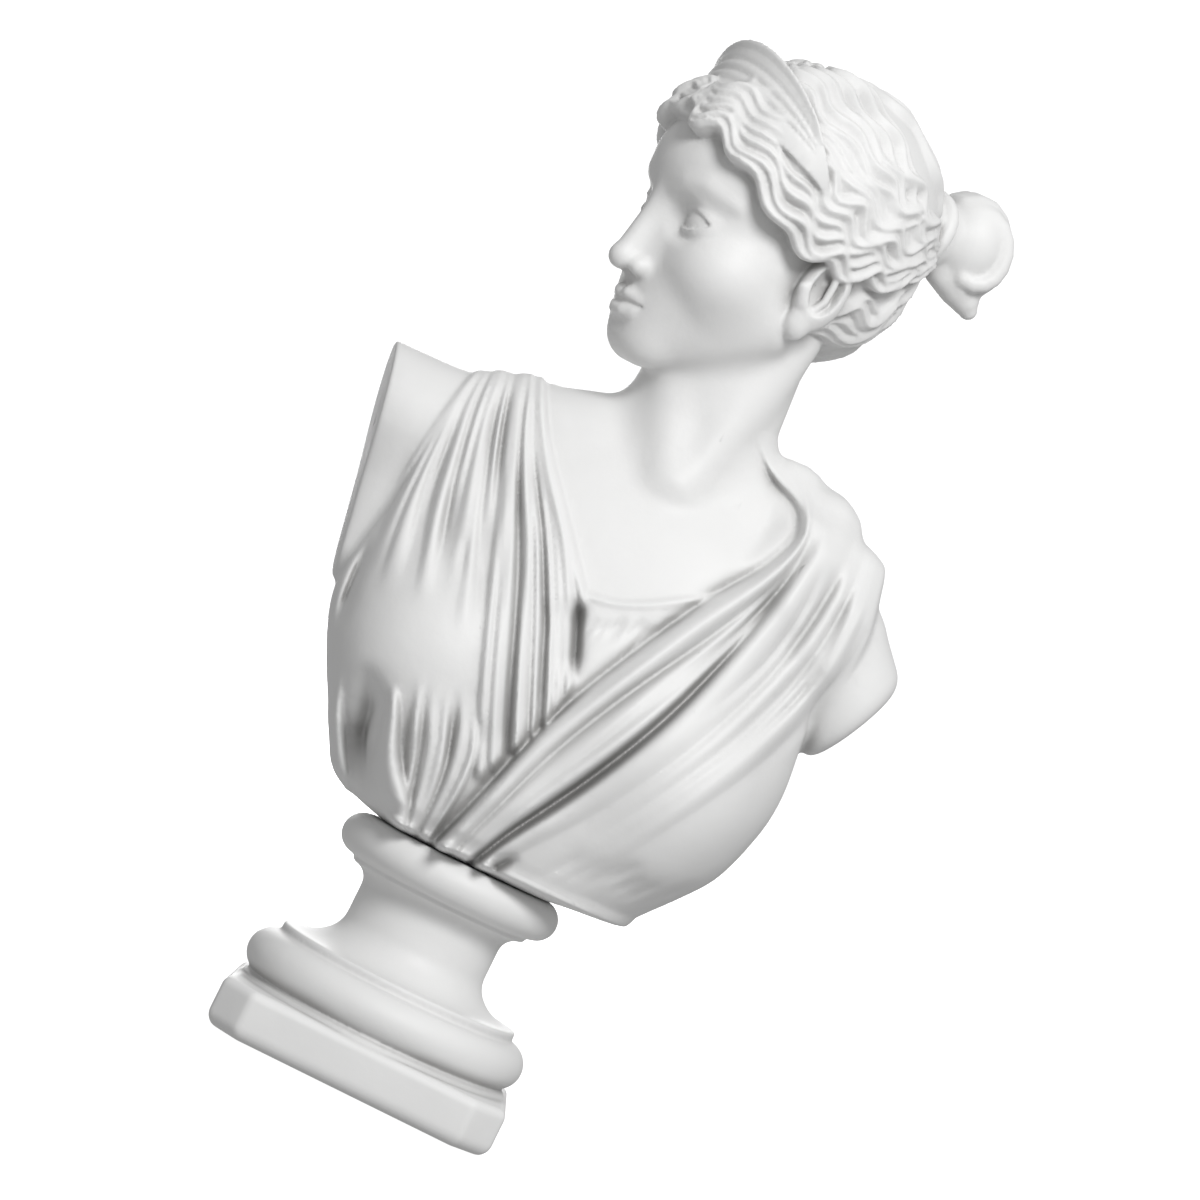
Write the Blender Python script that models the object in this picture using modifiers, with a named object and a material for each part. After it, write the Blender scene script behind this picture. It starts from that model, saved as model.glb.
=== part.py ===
"""A classical bust of a woman in antique dress, cast in plaster, on a turned socle with a square block.

The figure is one closed form. It is carved as a distance field, made of round shapes that blend
into each other and of folds and locks that stand proud of them, and is then meshed.
Metres, +Z up. The origin is the middle of the socle's underside, and -Y is the front.
"""
import math

import bmesh
import bpy
import numpy as np
import openvdb
from mathutils import Matrix, Vector

# Driving sizes, in metres
BUST_HEIGHT = 0.231
FIT_GAP = 0.0003

BLOCK_WIDTH = 0.0800
BLOCK_HEIGHT = 0.0135
BLOCK_CHAMFER = 0.0085
BLOCK_FOOT_ROUNDING = 0.0038
BLOCK_TOP_ROUNDING = 0.0024
CORNER_ROUNDING = 0.0010
COVE_HEIGHT = 0.0012
COVE_RADIUS = 0.0380
BASE_TORUS_HEIGHT = 0.0128
BASE_TORUS_RADIUS = 0.0397
BASE_FILLET_HEIGHT = 0.0027
BASE_FILLET_RADIUS = 0.0336
STEM_HEIGHT = 0.0220
STEM_RADIUS = 0.0200
FOOT_FLARE = (0.0125, 0.0092)
TOP_FLARE = (0.0050, 0.0046)
CAP_FILLET_HEIGHT = 0.0016
CAP_FILLET_RADIUS = 0.0250
CAP_TORUS_HEIGHT = 0.0110
CAP_TORUS_RADIUS = 0.0311

SOCLE_HEIGHT = (BLOCK_HEIGHT + COVE_HEIGHT + BASE_TORUS_HEIGHT + BASE_FILLET_HEIGHT + STEM_HEIGHT
                + CAP_FILLET_HEIGHT + CAP_TORUS_HEIGHT)
BUST_BASE = SOCLE_HEIGHT + FIT_GAP

# The figure's own measure: everything carved is in parts, and 231 parts make its height
PART = BUST_HEIGHT / 231
CARVING_CELL = 1.35
RELIEF_PITCH = 0.7
BUST_TRIANGLES = 6600
TURNED_STEPS = 40

HIGH = 99.0


# Tools for distances

def smooth_min(a, b, k):
    """The lower of two distances, blended where they differ by less than k."""
    h = np.clip(0.5 + 0.5 * (b - a) / k, 0.0, 1.0)
    return b + (a - b) * h - k * h * (1.0 - h)


def smooth_max(a, b, k):
    return -smooth_min(-a, -b, k)


def smoothstep(low, high, value):
    t = np.clip((value - low) / (high - low), 0.0, 1.0)
    return t * t * (3.0 - 2.0 * t)


def turn_matrix(yaw, pitch, roll):
    """Turns in degrees about Z, X and Y."""
    y, p, r = (math.radians(angle) for angle in (yaw, pitch, roll))
    about_z = np.array([[math.cos(y), -math.sin(y), 0], [math.sin(y), math.cos(y), 0], [0, 0, 1]])
    about_x = np.array([[1, 0, 0], [0, math.cos(p), -math.sin(p)], [0, math.sin(p), math.cos(p)]])
    about_y = np.array([[math.cos(r), 0, math.sin(r)], [0, 1, 0], [-math.sin(r), 0, math.cos(r)]])
    return (about_z @ about_x @ about_y).astype(np.float32)


def ellipsoid(centre, radii, turn=None):
    centre = np.array(centre, np.float32)
    radii = np.array(radii, np.float32)

    def distance(p):
        q = p - centre
        if turn is not None:
            q = q @ turn
        near = np.linalg.norm(q / radii, axis=1)
        steep = np.linalg.norm(q / (radii * radii), axis=1)
        return near * (near - 1.0) / np.maximum(steep, 1e-6)

    return distance


def cone(start, end, r0, r1):
    """A round-ended cone from start to end."""
    start = np.array(start, np.float32)
    axis = np.array(end, np.float32) - start

    def distance(p):
        q = p - start
        t = np.clip(q @ axis / (axis @ axis), 0.0, 1.0)
        return np.linalg.norm(q - t[:, None] * axis, axis=1) - (r0 + (r1 - r0) * t)

    return distance


def tube(path, radii):
    """Round-ended cones along a path."""
    path = np.array(path, np.float32)
    radii = np.broadcast_to(np.array(radii, np.float32), (len(path),))
    pieces = [cone(path[i], path[i + 1], radii[i], radii[i + 1]) for i in range(len(path) - 1)]

    def distance(p):
        d = pieces[0](p)
        for piece in pieces[1:]:
            d = np.minimum(d, piece(p))
        return d

    return distance


def plane(point, normal):
    normal = np.array(normal, np.float32)
    normal /= np.linalg.norm(normal)
    point = np.array(point, np.float32)
    return lambda p: (p - point) @ normal


class Clay:
    """A distance field at some points, which shapes are added to and cut from."""

    def __init__(self, points, first):
        self.p = points
        self.d = first(points)

    def near(self, low, high, margin):
        inside = np.ones(len(self.p), bool)
        for axis in range(3):
            inside &= self.p[:, axis] > low[axis] - margin
            inside &= self.p[:, axis] < high[axis] + margin
        return np.flatnonzero(inside)

    def add(self, shape, k=1.0, box=None):
        at = slice(None) if box is None else self.near(box[0], box[1], 6.0)
        self.d[at] = smooth_min(self.d[at], shape(self.p[at]), k)

    def cut(self, shape, k=1.0, box=None):
        at = slice(None) if box is None else self.near(box[0], box[1], 6.0)
        self.d[at] = smooth_max(self.d[at], -shape(self.p[at]), k)


# Curves and reliefs

def curve(points, steps):
    """A smooth curve (Catmull-Rom) through the points."""
    pts = np.array(points, np.float64)
    pts = np.vstack([2 * pts[0] - pts[1], pts, 2 * pts[-1] - pts[-2]])
    spans = len(pts) - 3
    out = []
    for u in np.linspace(0, spans, steps):
        i = min(int(u), spans - 1)
        t = u - i
        a, b, c, d = pts[i:i + 4]
        bend = (2 * a - 5 * b + 4 * c - d) * t * t + (3 * b - a - 3 * c + d) * t ** 3
        out.append(0.5 * (2 * b + (c - a) * t + bend))
    return np.array(out, np.float32)


def across(points, value):
    """The first coordinate of a curve, read at values of its second."""
    fine = curve(points, 160)
    order = np.argsort(fine[:, 1])
    return np.interp(value, fine[order, 1], fine[order, 0]).astype(np.float32)


def path_distance(u, v, path):
    """Distance from (u, v) to a flat path, the share of its length there, and the side as a sign."""
    best = np.full(u.shape, 1e9, np.float32)
    share = np.zeros(u.shape, np.float32)
    side = np.ones(u.shape, np.float32)
    spans = len(path) - 1
    for i in range(spans):
        au, av = path[i]
        du, dv = path[i + 1] - path[i]
        t = np.clip(((u - au) * du + (v - av) * dv) / (du * du + dv * dv + 1e-9), 0, 1)
        reach = np.hypot(u - au - t * du, v - av - t * dv)
        closer = reach < best
        best = np.where(closer, reach, best)
        share = np.where(closer, (i + t) / spans, share)
        side = np.where(closer, np.sign(du * (v - av) - dv * (u - au)), side)
    return best, share, side


class Relief:
    """Heights over a flat patch (u, v), read back between its points."""

    def __init__(self, low, high, pitch):
        self.low = low
        self.pitch = pitch
        u = np.arange(low[0], high[0] + pitch, pitch, dtype=np.float32)
        v = np.arange(low[1], high[1] + pitch, pitch, dtype=np.float32)
        self.u, self.v = np.meshgrid(u, v, indexing="ij")
        self.h = np.zeros(self.u.shape, np.float32)

    def near(self, path, margin):
        spans = []
        for axis in range(2):
            first = (path[:, axis].min() - margin - self.low[axis]) / self.pitch
            last = (path[:, axis].max() + margin - self.low[axis]) / self.pitch
            spans.append(slice(max(int(first), 0), max(int(last) + 2, 0)))
        return tuple(spans)

    def swell(self, at, path, fade):
        dist, share, side = path_distance(self.u[at], self.v[at], path)
        ends = smoothstep(0.0, fade[0], share) * smoothstep(0.0, fade[1], 1.0 - share)
        return dist, share, ends, side

    def ridge(self, path, width, height, fade=(0.15, 0.15), lean=0.0):
        """A round fold with a sharp valley beside it. Its half widths run along the path, and its
        crest leans to the path's left where lean is positive."""
        at = self.near(path, 1.14 * np.max(width))
        dist, share, ends, side = self.swell(at, path, fade)
        half = np.interp(share, np.linspace(0, 1, len(width)), width)
        half = half * (1 + 0.14 * np.sin(8 * share + 9 * lean))
        place = side * dist / half
        flank = np.where(place > lean, (place - lean) / (1 - lean), (lean - place) / (1 + lean))
        rise = height * ends * np.clip(1.0 - flank * flank, 0.0, 1.0) * np.sqrt(half / np.max(width))
        rise = rise * (1 + 0.16 * np.sin(6 * share + 20 * lean))
        self.h[at] = np.where(rise > 0, np.maximum(self.h[at], rise), self.h[at])

    def groove(self, path, width, depth, fade=(0.2, 0.2), lean=0.0):
        """A soft-edged furrow with a sharp floor, steeper on the path's left where lean is positive."""
        at = self.near(path, 4.5 * width)
        dist, share, ends, side = self.swell(at, path, fade)
        self.h[at] -= depth * ends * np.exp(-((dist / (width * (1 - lean * side))) ** 1.3))

    def soften(self, times):
        """Averages each height with its neighbours, which takes the steps out of slanting valleys."""
        for _ in range(times):
            h = self.h
            h[1:-1] = 0.25 * h[:-2] + 0.5 * h[1:-1] + 0.25 * h[2:]
            h[:, 1:-1] = 0.25 * h[:, :-2] + 0.5 * h[:, 1:-1] + 0.25 * h[:, 2:]

    def read(self, u, v):
        """Heights between the points of the patch."""
        s = np.clip((u - self.low[0]) / self.pitch, 0, self.h.shape[0] - 1.001)
        t = np.clip((v - self.low[1]) / self.pitch, 0, self.h.shape[1] - 1.001)
        i, j = s.astype(int), t.astype(int)
        s, t = s - i, t - j
        low = self.h[i, j] * (1 - t) + self.h[i, j + 1] * t
        high = self.h[i + 1, j] * (1 - t) + self.h[i + 1, j + 1] * t
        return low * (1 - s) + high * s


def between(first, last, count, rng, jitter=0.12, steps=26):
    """A family of curves from one guide curve to another, as (share, path)."""
    a, b = curve(first, steps), curve(last, steps)
    family = []
    for i in range(count):
        share = (i + 0.5 + rng.uniform(-jitter, jitter)) / count
        family.append((share, a + (b - a) * share))
    return family


def folds(relief, first, last, count, rng, height, fade=(0.02, 0.1), reach=(1.0, 1.0), fill=1.1):
    """Folds that fill the strip between two guides, each up to its own share of the strip's length."""
    a, b = curve(first, 26), curve(last, 26)
    along = np.gradient((a + b) / 2, axis=0)
    along /= np.linalg.norm(along, axis=1)[:, None]
    gap = b - a
    room = np.maximum(np.abs(gap[:, 0] * along[:, 1] - gap[:, 1] * along[:, 0]) / count / 2, 0.9)
    for share, path in between(first, last, count, rng, 0.3):
        end = int(len(path) * rng.uniform(*reach))
        half = room[:end] * fill * rng.uniform(0.8, 1.35)
        relief.ridge(path[:end], half, height * rng.uniform(0.75, 1.2), fade, rng.uniform(-0.4, 0.4))


def wrinkles(relief, first, last, count, rng, depth, width=0.6, length=0.45):
    """Short fine furrows here and there between two guides."""
    for share, path in between(first, last, count, rng, 0.45):
        start = int(rng.uniform(0, 1 - length) * len(path))
        stop = start + max(int(rng.uniform(0.5, 1.0) * length * len(path)), 4)
        relief.groove(path[start:stop], width * rng.uniform(0.8, 1.3), depth * rng.uniform(0.5, 1.2),
                      (0.4, 0.5), rng.uniform(-0.5, 0.5))


# Torso: sections at heights, as height, centre x, half width, centre y, half depth
SECTIONS = (
    (-6, 1.5, 17, 3, 15),
    (0, 1.5, 24.5, 3, 23),
    (3, 4.9, 37.5, 3, 31.0),
    (7.4, 3.2, 43.4, 3, 34.4),
    (15.2, 4.9, 49.3, 3, 37),
    (25, 5.7, 56.0, 3, 38),
    (39, 4.6, 61.8, 3, 37.5),
    (50, 3.8, 64.0, 3, 36.5),
    (62, 3.6, 63.2, 4, 35.5),
    (76, 3.4, 60.8, 5, 33.5),
    (90, 3.0, 57.0, 6, 31),
    (102, 3.0, 51.0, 7, 27.5),
    (112, 4.0, 42.0, 8, 22),
    (120, 5.0, 30.0, 8, 17),
    (128, 5.0, 18.0, 8, 13),
    (136, 5.0, 8.0, 8, 7),
)


def section(z):
    """Centre x, half width, centre y and half depth at heights z."""
    table = np.array(SECTIONS, np.float32)
    out = []
    for i in range(1, 5):
        fine = curve(table[:, (0, i)], 240)
        out.append(np.interp(z, fine[:, 0], fine[:, 1]).astype(np.float32))
    return out


def torso(p):
    """A loft of superellipses."""
    z = p[:, 2]
    cx, a, cy, b = section(z)
    slope = (section(z + 1)[1] - section(z - 1)[1]) / 2
    x, y = (p[:, 0] - cx) / a, (p[:, 1] - cy) / b
    power = 2.35
    k0 = (np.abs(x) ** power + np.abs(y) ** power) ** (1 / power)
    steep = np.sqrt((x / a) ** 2 + (y / b) ** 2) / np.maximum(np.hypot(x, y), 1e-4)
    d = (k0 - 1) / np.maximum(steep, 1e-4)
    return smooth_max(d / np.sqrt(1 + slope * slope), z - 132, 3)


def body(p):
    """The torso with shoulders, breasts and the bundle of cloth on one shoulder."""
    clay = Clay(p, torso)
    clay.add(cone((-22, 8, 106), (-56, 7, 99), 15, 15), 10)
    clay.add(cone((26, 8, 106), (60, 7, 96), 15, 15), 10)
    clay.add(cone((8, 10, 119), (-40, 8, 108), 12, 9), 10)
    clay.add(cone((6, 10, 122), (46, 8, 108), 13, 9), 12)
    clay.add(ellipsoid((-29, -19, 44), (21, 20, 23)), 12)
    clay.add(ellipsoid((38, -19, 42), (21, 20, 23)), 12)
    shoulder = ((0, -30, 74), (80, 40, 140))
    clay.add(tube([(18, 29, 112), (26, 18, 125), (36, 5, 123.5), (42, -8, 113), (38, -14, 100),
                   (31, -16, 86)],
                  [6, 7.5, 7.5, 6, 5, 3]), 4, shoulder)
    clay.add(tube([(30, 29, 108), (42, 14, 122.5), (48, 2, 119.5), (50, -8, 108), (46, -13, 95),
                   (40, -14, 80)],
                  [6, 8, 7.6, 6, 5, 3]), 4, shoulder)
    clay.add(tube([(48, 26, 102), (55, 12, 112), (59.5, 1, 110), (60.5, -6, 100), (59, -9, 88),
                   (54, -9, 74)],
                  [6, 7.6, 7, 6, 5, 3]), 4, shoulder)
    return clay.d


# Borders of the dress, seen from the front as (x, z), and how far its edges are rubbed
SOFTNESS = 0.42
STRAP_EDGE = [(-37, 130), (-35, 122), (-31, 114), (-24, 104), (-11.5, 89), (-1.5, 77), (1.5, 73)]
SASH_EDGE = [(31, 136), (37.4, 127), (41.5, 119), (42, 112), (37.5, 101.5), (29, 89), (18.3, 69),
             (10.5, 53), (4, 37), (-1.5, 18), (-7, 1)]
NECKLINE = [(-3, 76), (6, 77.5), (14, 81), (22, 86), (33, 93)]
POCKET = [(-2.0, 75.0), (0.6, 68), (3.8, 60), (6.2, 52.5)]
POCKET_EDGE = [(1.5, 73), (4.5, 62), (6.5, 52), (4, 36), (-1.5, 18), (-7, 1)]
ARM_EDGE_LEFT = [(-51, 126), (-54, 112), (-57, 90), (-61.5, 60), (-66, 40)]
ARM_EDGE_RIGHT = [(66, 126), (69.5, 108), (72, 90), (70, 72), (72, 50)]


def chiton_folds(relief, rng):
    """Fine folds fanning from the shoulder, some ending over the breast, and the folds below it."""
    outer = [(-51, 124), (-51, 106), (-48, 84), (-42, 62), (-37, 50)]
    middle = [(-42, 124), (-34, 104), (-23, 82), (-12, 60), (-7, 46)]
    folds(relief, outer, middle, 7, rng, 3.2, (0.02, 0.5), (0.62, 1.0))
    inner = [(-42.5, 124), (-37, 104), (-29, 81), (-21, 60), (-13, 40), (-4, 19)]
    strap = [(-37, 124), (-26, 104), (-12.5, 87), (-2.5, 71), (4.5, 57), (9.5, 46)]
    folds(relief, inner, strap, 9, rng, 3.7, (0.02, 0.04))
    wrinkles(relief, inner, strap, 8, rng, 1.2, 0.8, 0.4)
    wrinkles(relief, outer, middle, 7, rng, 1.2, 0.9, 0.4)
    side = [(-53, 120), (-57, 95), (-61, 70), (-60, 48)]
    folds(relief, side, outer, 4, rng, 2.9, (0.02, 0.5), (0.7, 1.0))
    hollow = curve([(-45, 36), (-38, 27), (-36, 18), (-31, 8), (-27, 0)], 14)
    relief.groove(hollow, 3.8, 6.4, (0.3, 0.6), 0.2)
    leaf = curve([(-34, 33), (-31, 25), (-27, 14), (-21, 7), (-17, 0), (-15, -6)], 14)
    relief.ridge(leaf, [0.8, 2.6, 4.0, 3.6, 2.5, 2.0], 4.6, (0.1, 0.02), 0.3)
    side_fold = curve([(-50, 32), (-45, 18), (-37, 5), (-33, -4)], 14)
    relief.ridge(side_fold, [1.0, 2.4, 2.8, 2.2], 1.6, (0.4, 0.6))
    below = [(-31, 40), (-24, 20), (-16, 0)]
    centre = [(-13, 40), (-6, 24), (-9, -6)]
    folds(relief, below, centre, 5, rng, 3.0, (0.4, 0.02), fill=1.0)
    wrinkles(relief, below, centre, 5, rng, 1.4, 0.8, 0.6)
    relief.groove(curve([(-57.5, 66), (-57, 52), (-55, 38)], 8), 1.5, 2.6, (0.4, 0.4), -0.4)


def sash_folds(relief, rng):
    """Thick rolls along the sash with a deep furrow after them, flatter towards the arm."""
    inner = [(28, 134), (37.5, 127), (42.5, 118), (42.5, 111), (38, 100.5), (29.5, 87), (19, 69),
             (11, 53), (4.5, 37), (-1.0, 18), (-6, 1), (-8, -6)]
    crease = [(42, 132), (46, 122), (46.5, 111), (44.5, 96), (40.5, 80), (34.5, 61.5), (28.5, 47),
              (21.5, 33), (15.5, 22.5), (9, 11.5), (4, 1), (1, -6)]
    folds(relief, inner, crease, 3, rng, 5.2, (0.02, 0.01), fill=1.15)
    wrinkles(relief, inner, crease, 6, rng, 1.4, 0.9, 0.5)
    beyond = [(54, 130), (57, 120), (57.5, 108), (56, 92), (52, 76), (45, 59), (37.5, 44), (29.5, 30),
              (23, 20), (15.5, 10), (9.5, 1), (6, -6)]
    folds(relief, crease, beyond, 1, rng, 3.4, (0.02, 0.01), fill=1.25)
    outer = [(62, 128), (66, 112), (67, 96), (66, 80), (60, 62), (52, 46), (43, 30), (34, 14), (26, 1),
             (22, -6)]
    folds(relief, beyond, outer, 3, rng, 2.6, (0.02, 0.55), (0.75, 1.0))
    arm = [(67, 120), (71, 100), (71, 84), (68, 66), (62, 50)]
    folds(relief, outer[:5], arm, 2, rng, 1.8, (0.02, 0.6))
    relief.groove(curve(crease, 34)[7:] + np.array((-0.8, 0), np.float32), 1.8, 6.4, (0.3, 0.01), 0.4)
    relief.groove(curve([(8.5, 1.5), (11, 5), (14, 8.5)], 6), 1.4, 3.4, (0.2, 0.5), -0.3)
    relief.groove(curve([(44.5, 106), (41, 92), (35, 78), (27, 62), (20, 46), (14, 31)], 20), 1.0, 2.2,
                  (0.2, 0.5), -0.3)
    relief.groove(curve([(51, 112), (51.5, 98), (49, 82), (43.5, 68), (36, 54)], 14), 1.1, 2.4,
                  (0.25, 0.6), 0.3)
    relief.groove(curve([(61, 112), (62, 94), (60, 76), (52, 58), (44, 46)], 14), 1.2, 2.0, (0.3, 0.6), 0.3)
    wrinkles(relief, [(30, 20), (24, 10), (16, 0)], [(60, 24), (50, 12), (40, 2)], 7, rng, 0.7, 1.2, 0.8)


def front_relief(pitch):
    """Height of the dress over the skin, seen from the front as (x, z)."""
    relief = Relief((-82, -6), (100, 142), pitch)
    x, z = relief.u, relief.v
    rng = np.random.default_rng(7)
    strap = across(STRAP_EDGE, z)
    sash = across(SASH_EDGE, z)
    line = curve(NECKLINE, 40)
    neckline = np.interp(x, line[:, 0], line[:, 1]).astype(np.float32)

    chiton_folds(relief, rng)
    hem = curve(STRAP_EDGE, 30) + np.array((-1.3, -0.6), np.float32)
    relief.ridge(hem, [1.5, 1.5], 2.6, (0.02, 0.05), -0.3)
    chiton = 0.9 + relief.h

    relief.h = np.zeros_like(x)
    for i in range(9):
        foot = 4 + 2.4 * i + rng.uniform(-0.9, 0.9)
        top = 75.0 + 0.9 * i + rng.uniform(-3.0, 0.5)
        path = curve([(foot + 1.6, top), (foot, top - 5), (foot - 1.6, top - 9 - rng.uniform(0, 8))], 6)
        relief.groove(path, rng.uniform(0.6, 1.0), rng.uniform(0.8, 1.6), (0.4, 0.6), rng.uniform(-0.4, 0.4))
    relief.ridge(line + np.array((0.3, -1.1), np.float32), [1.1, 1.1], 0.9, (0.1, 0.05), 0.3)
    centre = 1.0 + relief.h

    relief.h = np.zeros_like(x)
    relief.groove(curve(POCKET, 12), 1.9, 7.5, (0.3, 0.35), 0.4)
    pocket = relief.h

    relief.h = np.zeros_like(x)
    sash_folds(relief, rng)
    thick = 2.5 - 1.2 * smoothstep(45, 62, x) * smoothstep(100, 60, z)
    mantle = thick + relief.h

    relief.h = np.zeros_like(x)
    relief.groove(curve(SASH_EDGE, 40) + np.array((-1.0, 0), np.float32), 1.4, 2.4, (0.6, 0.02))
    shade = relief.h

    soft = 0.7
    h = centre * smoothstep(-soft, soft, neckline - z) * smoothstep(-6.0, -4.0, x)
    h = h + (chiton - h) * smoothstep(-soft, soft, strap - x)
    low = smoothstep(72.8, 71.2, z) * smoothstep(soft, -soft, x - across(POCKET_EDGE, z))
    h = h + (np.maximum(chiton, h) - h) * low
    on_sash = smoothstep(-soft, soft, x - sash)
    h = h + (shade + pocket) * (1 - on_sash)
    h = h + (mantle - h) * on_sash
    bare = np.maximum(smoothstep(soft, -soft, x - across(ARM_EDGE_LEFT, z)) * smoothstep(50, 58, z),
                      smoothstep(-soft, soft, x - across(ARM_EDGE_RIGHT, z)) * smoothstep(60, 66, z))
    shoulders = 1 - 0.65 * smoothstep(98, 114, z) * smoothstep(44, 54, x)
    shoulders = shoulders - 0.4 * smoothstep(112, 120, z) * smoothstep(-30, -38, x)
    relief.h = h * (1 - bare) * (0.35 + 0.65 * smoothstep(-1.0, 8.0, z)) * shoulders
    relief.soften(round(2 * (SOFTNESS / pitch) ** 2))
    return relief


def back_relief(pitch):
    """Height of the dress over the back, as (x, z)."""
    relief = Relief((-82, -6), (100, 142), pitch)
    x, z = relief.u, relief.v
    rng = np.random.default_rng(11)
    folds(relief, [(44, 130), (28, 100), (0, 62), (-32, 26), (-48, 6)],
          [(66, 116), (66, 80), (56, 45), (38, 12), (30, -2)], 9, rng, 3.2, (0.02, 0.15), (0.8, 1.0))
    folds(relief, [(-50, 122), (-55, 90), (-58, 60), (-52, 30)],
          [(-37, 126), (-30, 98), (-30, 70), (-38, 40)], 6, rng, 2.4, (0.02, 0.4), (0.7, 1.0))
    wrinkles(relief, [(48, 120), (24, 80), (-10, 40), (-40, 8)], [(64, 100), (58, 60), (30, 10)],
             12, rng, 0.9, 0.7, 0.4)
    collar = 112 + 0.28 * np.abs(x - 4)
    cover = np.clip(smoothstep(0.6, -0.6, z - collar) + smoothstep(-0.6, 0.6, np.abs(x - 4) - 36), 0, 1)
    bare = np.maximum(smoothstep(0.6, -0.6, x + 57) * smoothstep(50, 58, z),
                      smoothstep(-0.6, 0.6, x - 70) * smoothstep(60, 66, z))
    relief.h = (1.6 + relief.h) * cover * (1 - bare) * (0.35 + 0.65 * smoothstep(-1.0, 8.0, z))
    relief.h *= 1 - 0.6 * smoothstep(98, 114, z)
    relief.soften(round(2 * (SOFTNESS / pitch) ** 2))
    return relief


def arms(p):
    """The two stumps of the upper arms, each cut off by a plane."""
    left = cone((-56, 7, 99), (-84, 7, 98.5), 16.0, 16.0)(p)
    left = smooth_min(left, cone((-62, 7, 94), (-60, 8, 62), 15.0, 11.0)(p), 8)
    left = smooth_max(left, plane((-73.6, -6, 112), (-0.975, -0.12, -0.19))(p), 1.0)
    right = cone((63, 7, 92), (93, 12, 61.5), 16.0, 14.5)(p)
    right = smooth_max(right, plane((87.9, 5, 96.8), (0.90, 0.1, -0.43))(p), 5.0)
    return left, right


def neck(p):
    clay = Clay(p, cone((7.5, 10, 104), (4.8, 3, 158), 21.2, 19.6))
    clay.add(cone((20, -3, 162), (9, -14, 112), 5.0, 4.0), 6)
    clay.add(cone((-6, -4, 140), (4, -14, 112), 4.0, 3.5), 7)
    return clay.d


# Head: its own frame has x to its left, y to its back and z up from the eye line
HEAD_AT = np.array([-2.0, -3.0, 180.0], np.float32)
HEAD_TURN = turn_matrix(-60.0, 10.0, 4.0)


def to_head(p):
    return (p - HEAD_AT) @ HEAD_TURN


def flesh(q):
    """Skull, cheeks, jaw and nose of one half, mirrored by q."""
    clay = Clay(q, ellipsoid((0, 5, 13), (28.0, 37.0, 31.0)))
    face = ((-1, -60, -50), (32, 10, 30))
    clay.add(ellipsoid((0, -7, -11), (24.5, 23.5, 27.5)), 8)
    clay.add(cone((18.5, 1, -20), (5, -21.0, -33), 7.0, 6.5), 8)
    clay.add(ellipsoid((0, -24.0, -34.0), (9.0, 7.0, 6.4)), 6, face)
    clay.add(ellipsoid((14.5, -15.0, -12), (11.0, 12.0, 10)), 8, face)
    clay.add(ellipsoid((0, -22.5, -24.0), (13.0, 9.0, 9.5)), 6, face)
    clay.add(ellipsoid((0, -12.0, 12.0), (21.5, 20.5, 16.0)), 8, face)
    clay.cut(ellipsoid((12.5, -33.5, -1.4), (8.6, 7.6, 6.4)), 2.4, face)
    clay.add(cone((0, -26.3, 6), (0, -28.4, -14), 3.6, 5.8), 4, face)
    clay.add(cone((0, -28.4, 8), (0, -36.2, -14.2), 2.7, 2.9), 3, face)
    clay.add(ellipsoid((0, -36.4, -15.6), (3.3, 3.5, 3.1)), 2, face)
    clay.add(ellipsoid((4.2, -32.2, -16.4), (2.4, 3.5, 2.6)), 1.6, face)
    clay.cut(ellipsoid((2.2, -34.6, -19.0), (1.2, 2.0, 1.3)), 0.6, face)
    return clay


def eye(clay):
    """An eyeball between two lids."""
    q = clay.p
    centre = np.array([11.8, -20.6, -0.6], np.float32)
    at = clay.near((3, -36, -8), (22, -18, 8), 2)
    x, z = q[at, 0] - centre[0], q[at, 2] - centre[2]
    z = z - 0.06 * x
    upper = np.hypot(x, z + 5.4) - 8.3
    lower = np.hypot(x, z - 9.4) - 11.6
    opening = smooth_max(upper, lower, 0.3)
    lids = smooth_max(ellipsoid(centre, (7.8, 8.1, 7.3))(q[at]), -opening, 0.3)
    clay.d[at] = smooth_min(clay.d[at], lids, 0.9)
    clay.d[at] = smooth_min(clay.d[at], ellipsoid(centre, (7.0, 7.05, 7.0))(q[at]), 0.2)


def mouth(clay):
    box = ((-1, -42, -34), (12, -22, -18))
    clay.add(tube([(8.8, -26.6, -25.6), (5.6, -30.0, -24.8), (2.2, -31.8, -23.8), (0, -31.6, -24.4)],
                  [0.8, 1.7, 2.0, 1.8]), 1.2, box)
    clay.add(tube([(8.0, -27.0, -26.8), (4.8, -30.2, -28.0), (1.8, -31.4, -28.5), (0, -31.4, -28.6)],
                  [0.8, 2.0, 2.4, 2.5]), 1.2, box)
    clay.cut(tube([(8.4, -29.2, -26.0), (6.2, -31.2, -26.1), (3.0, -33.2, -26.0), (0, -33.4, -26.5)],
                  [0.05, 0.35, 0.45, 0.45]), 1.0, box)
    clay.cut(ellipsoid((0, -34.4, -32.2), (6.5, 2.6, 1.5)), 2.2, box)
    clay.cut(cone((0, -33.6, -19.8), (0, -34.4, -22.4), 0.8, 1.1), 1.2, box)


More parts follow.
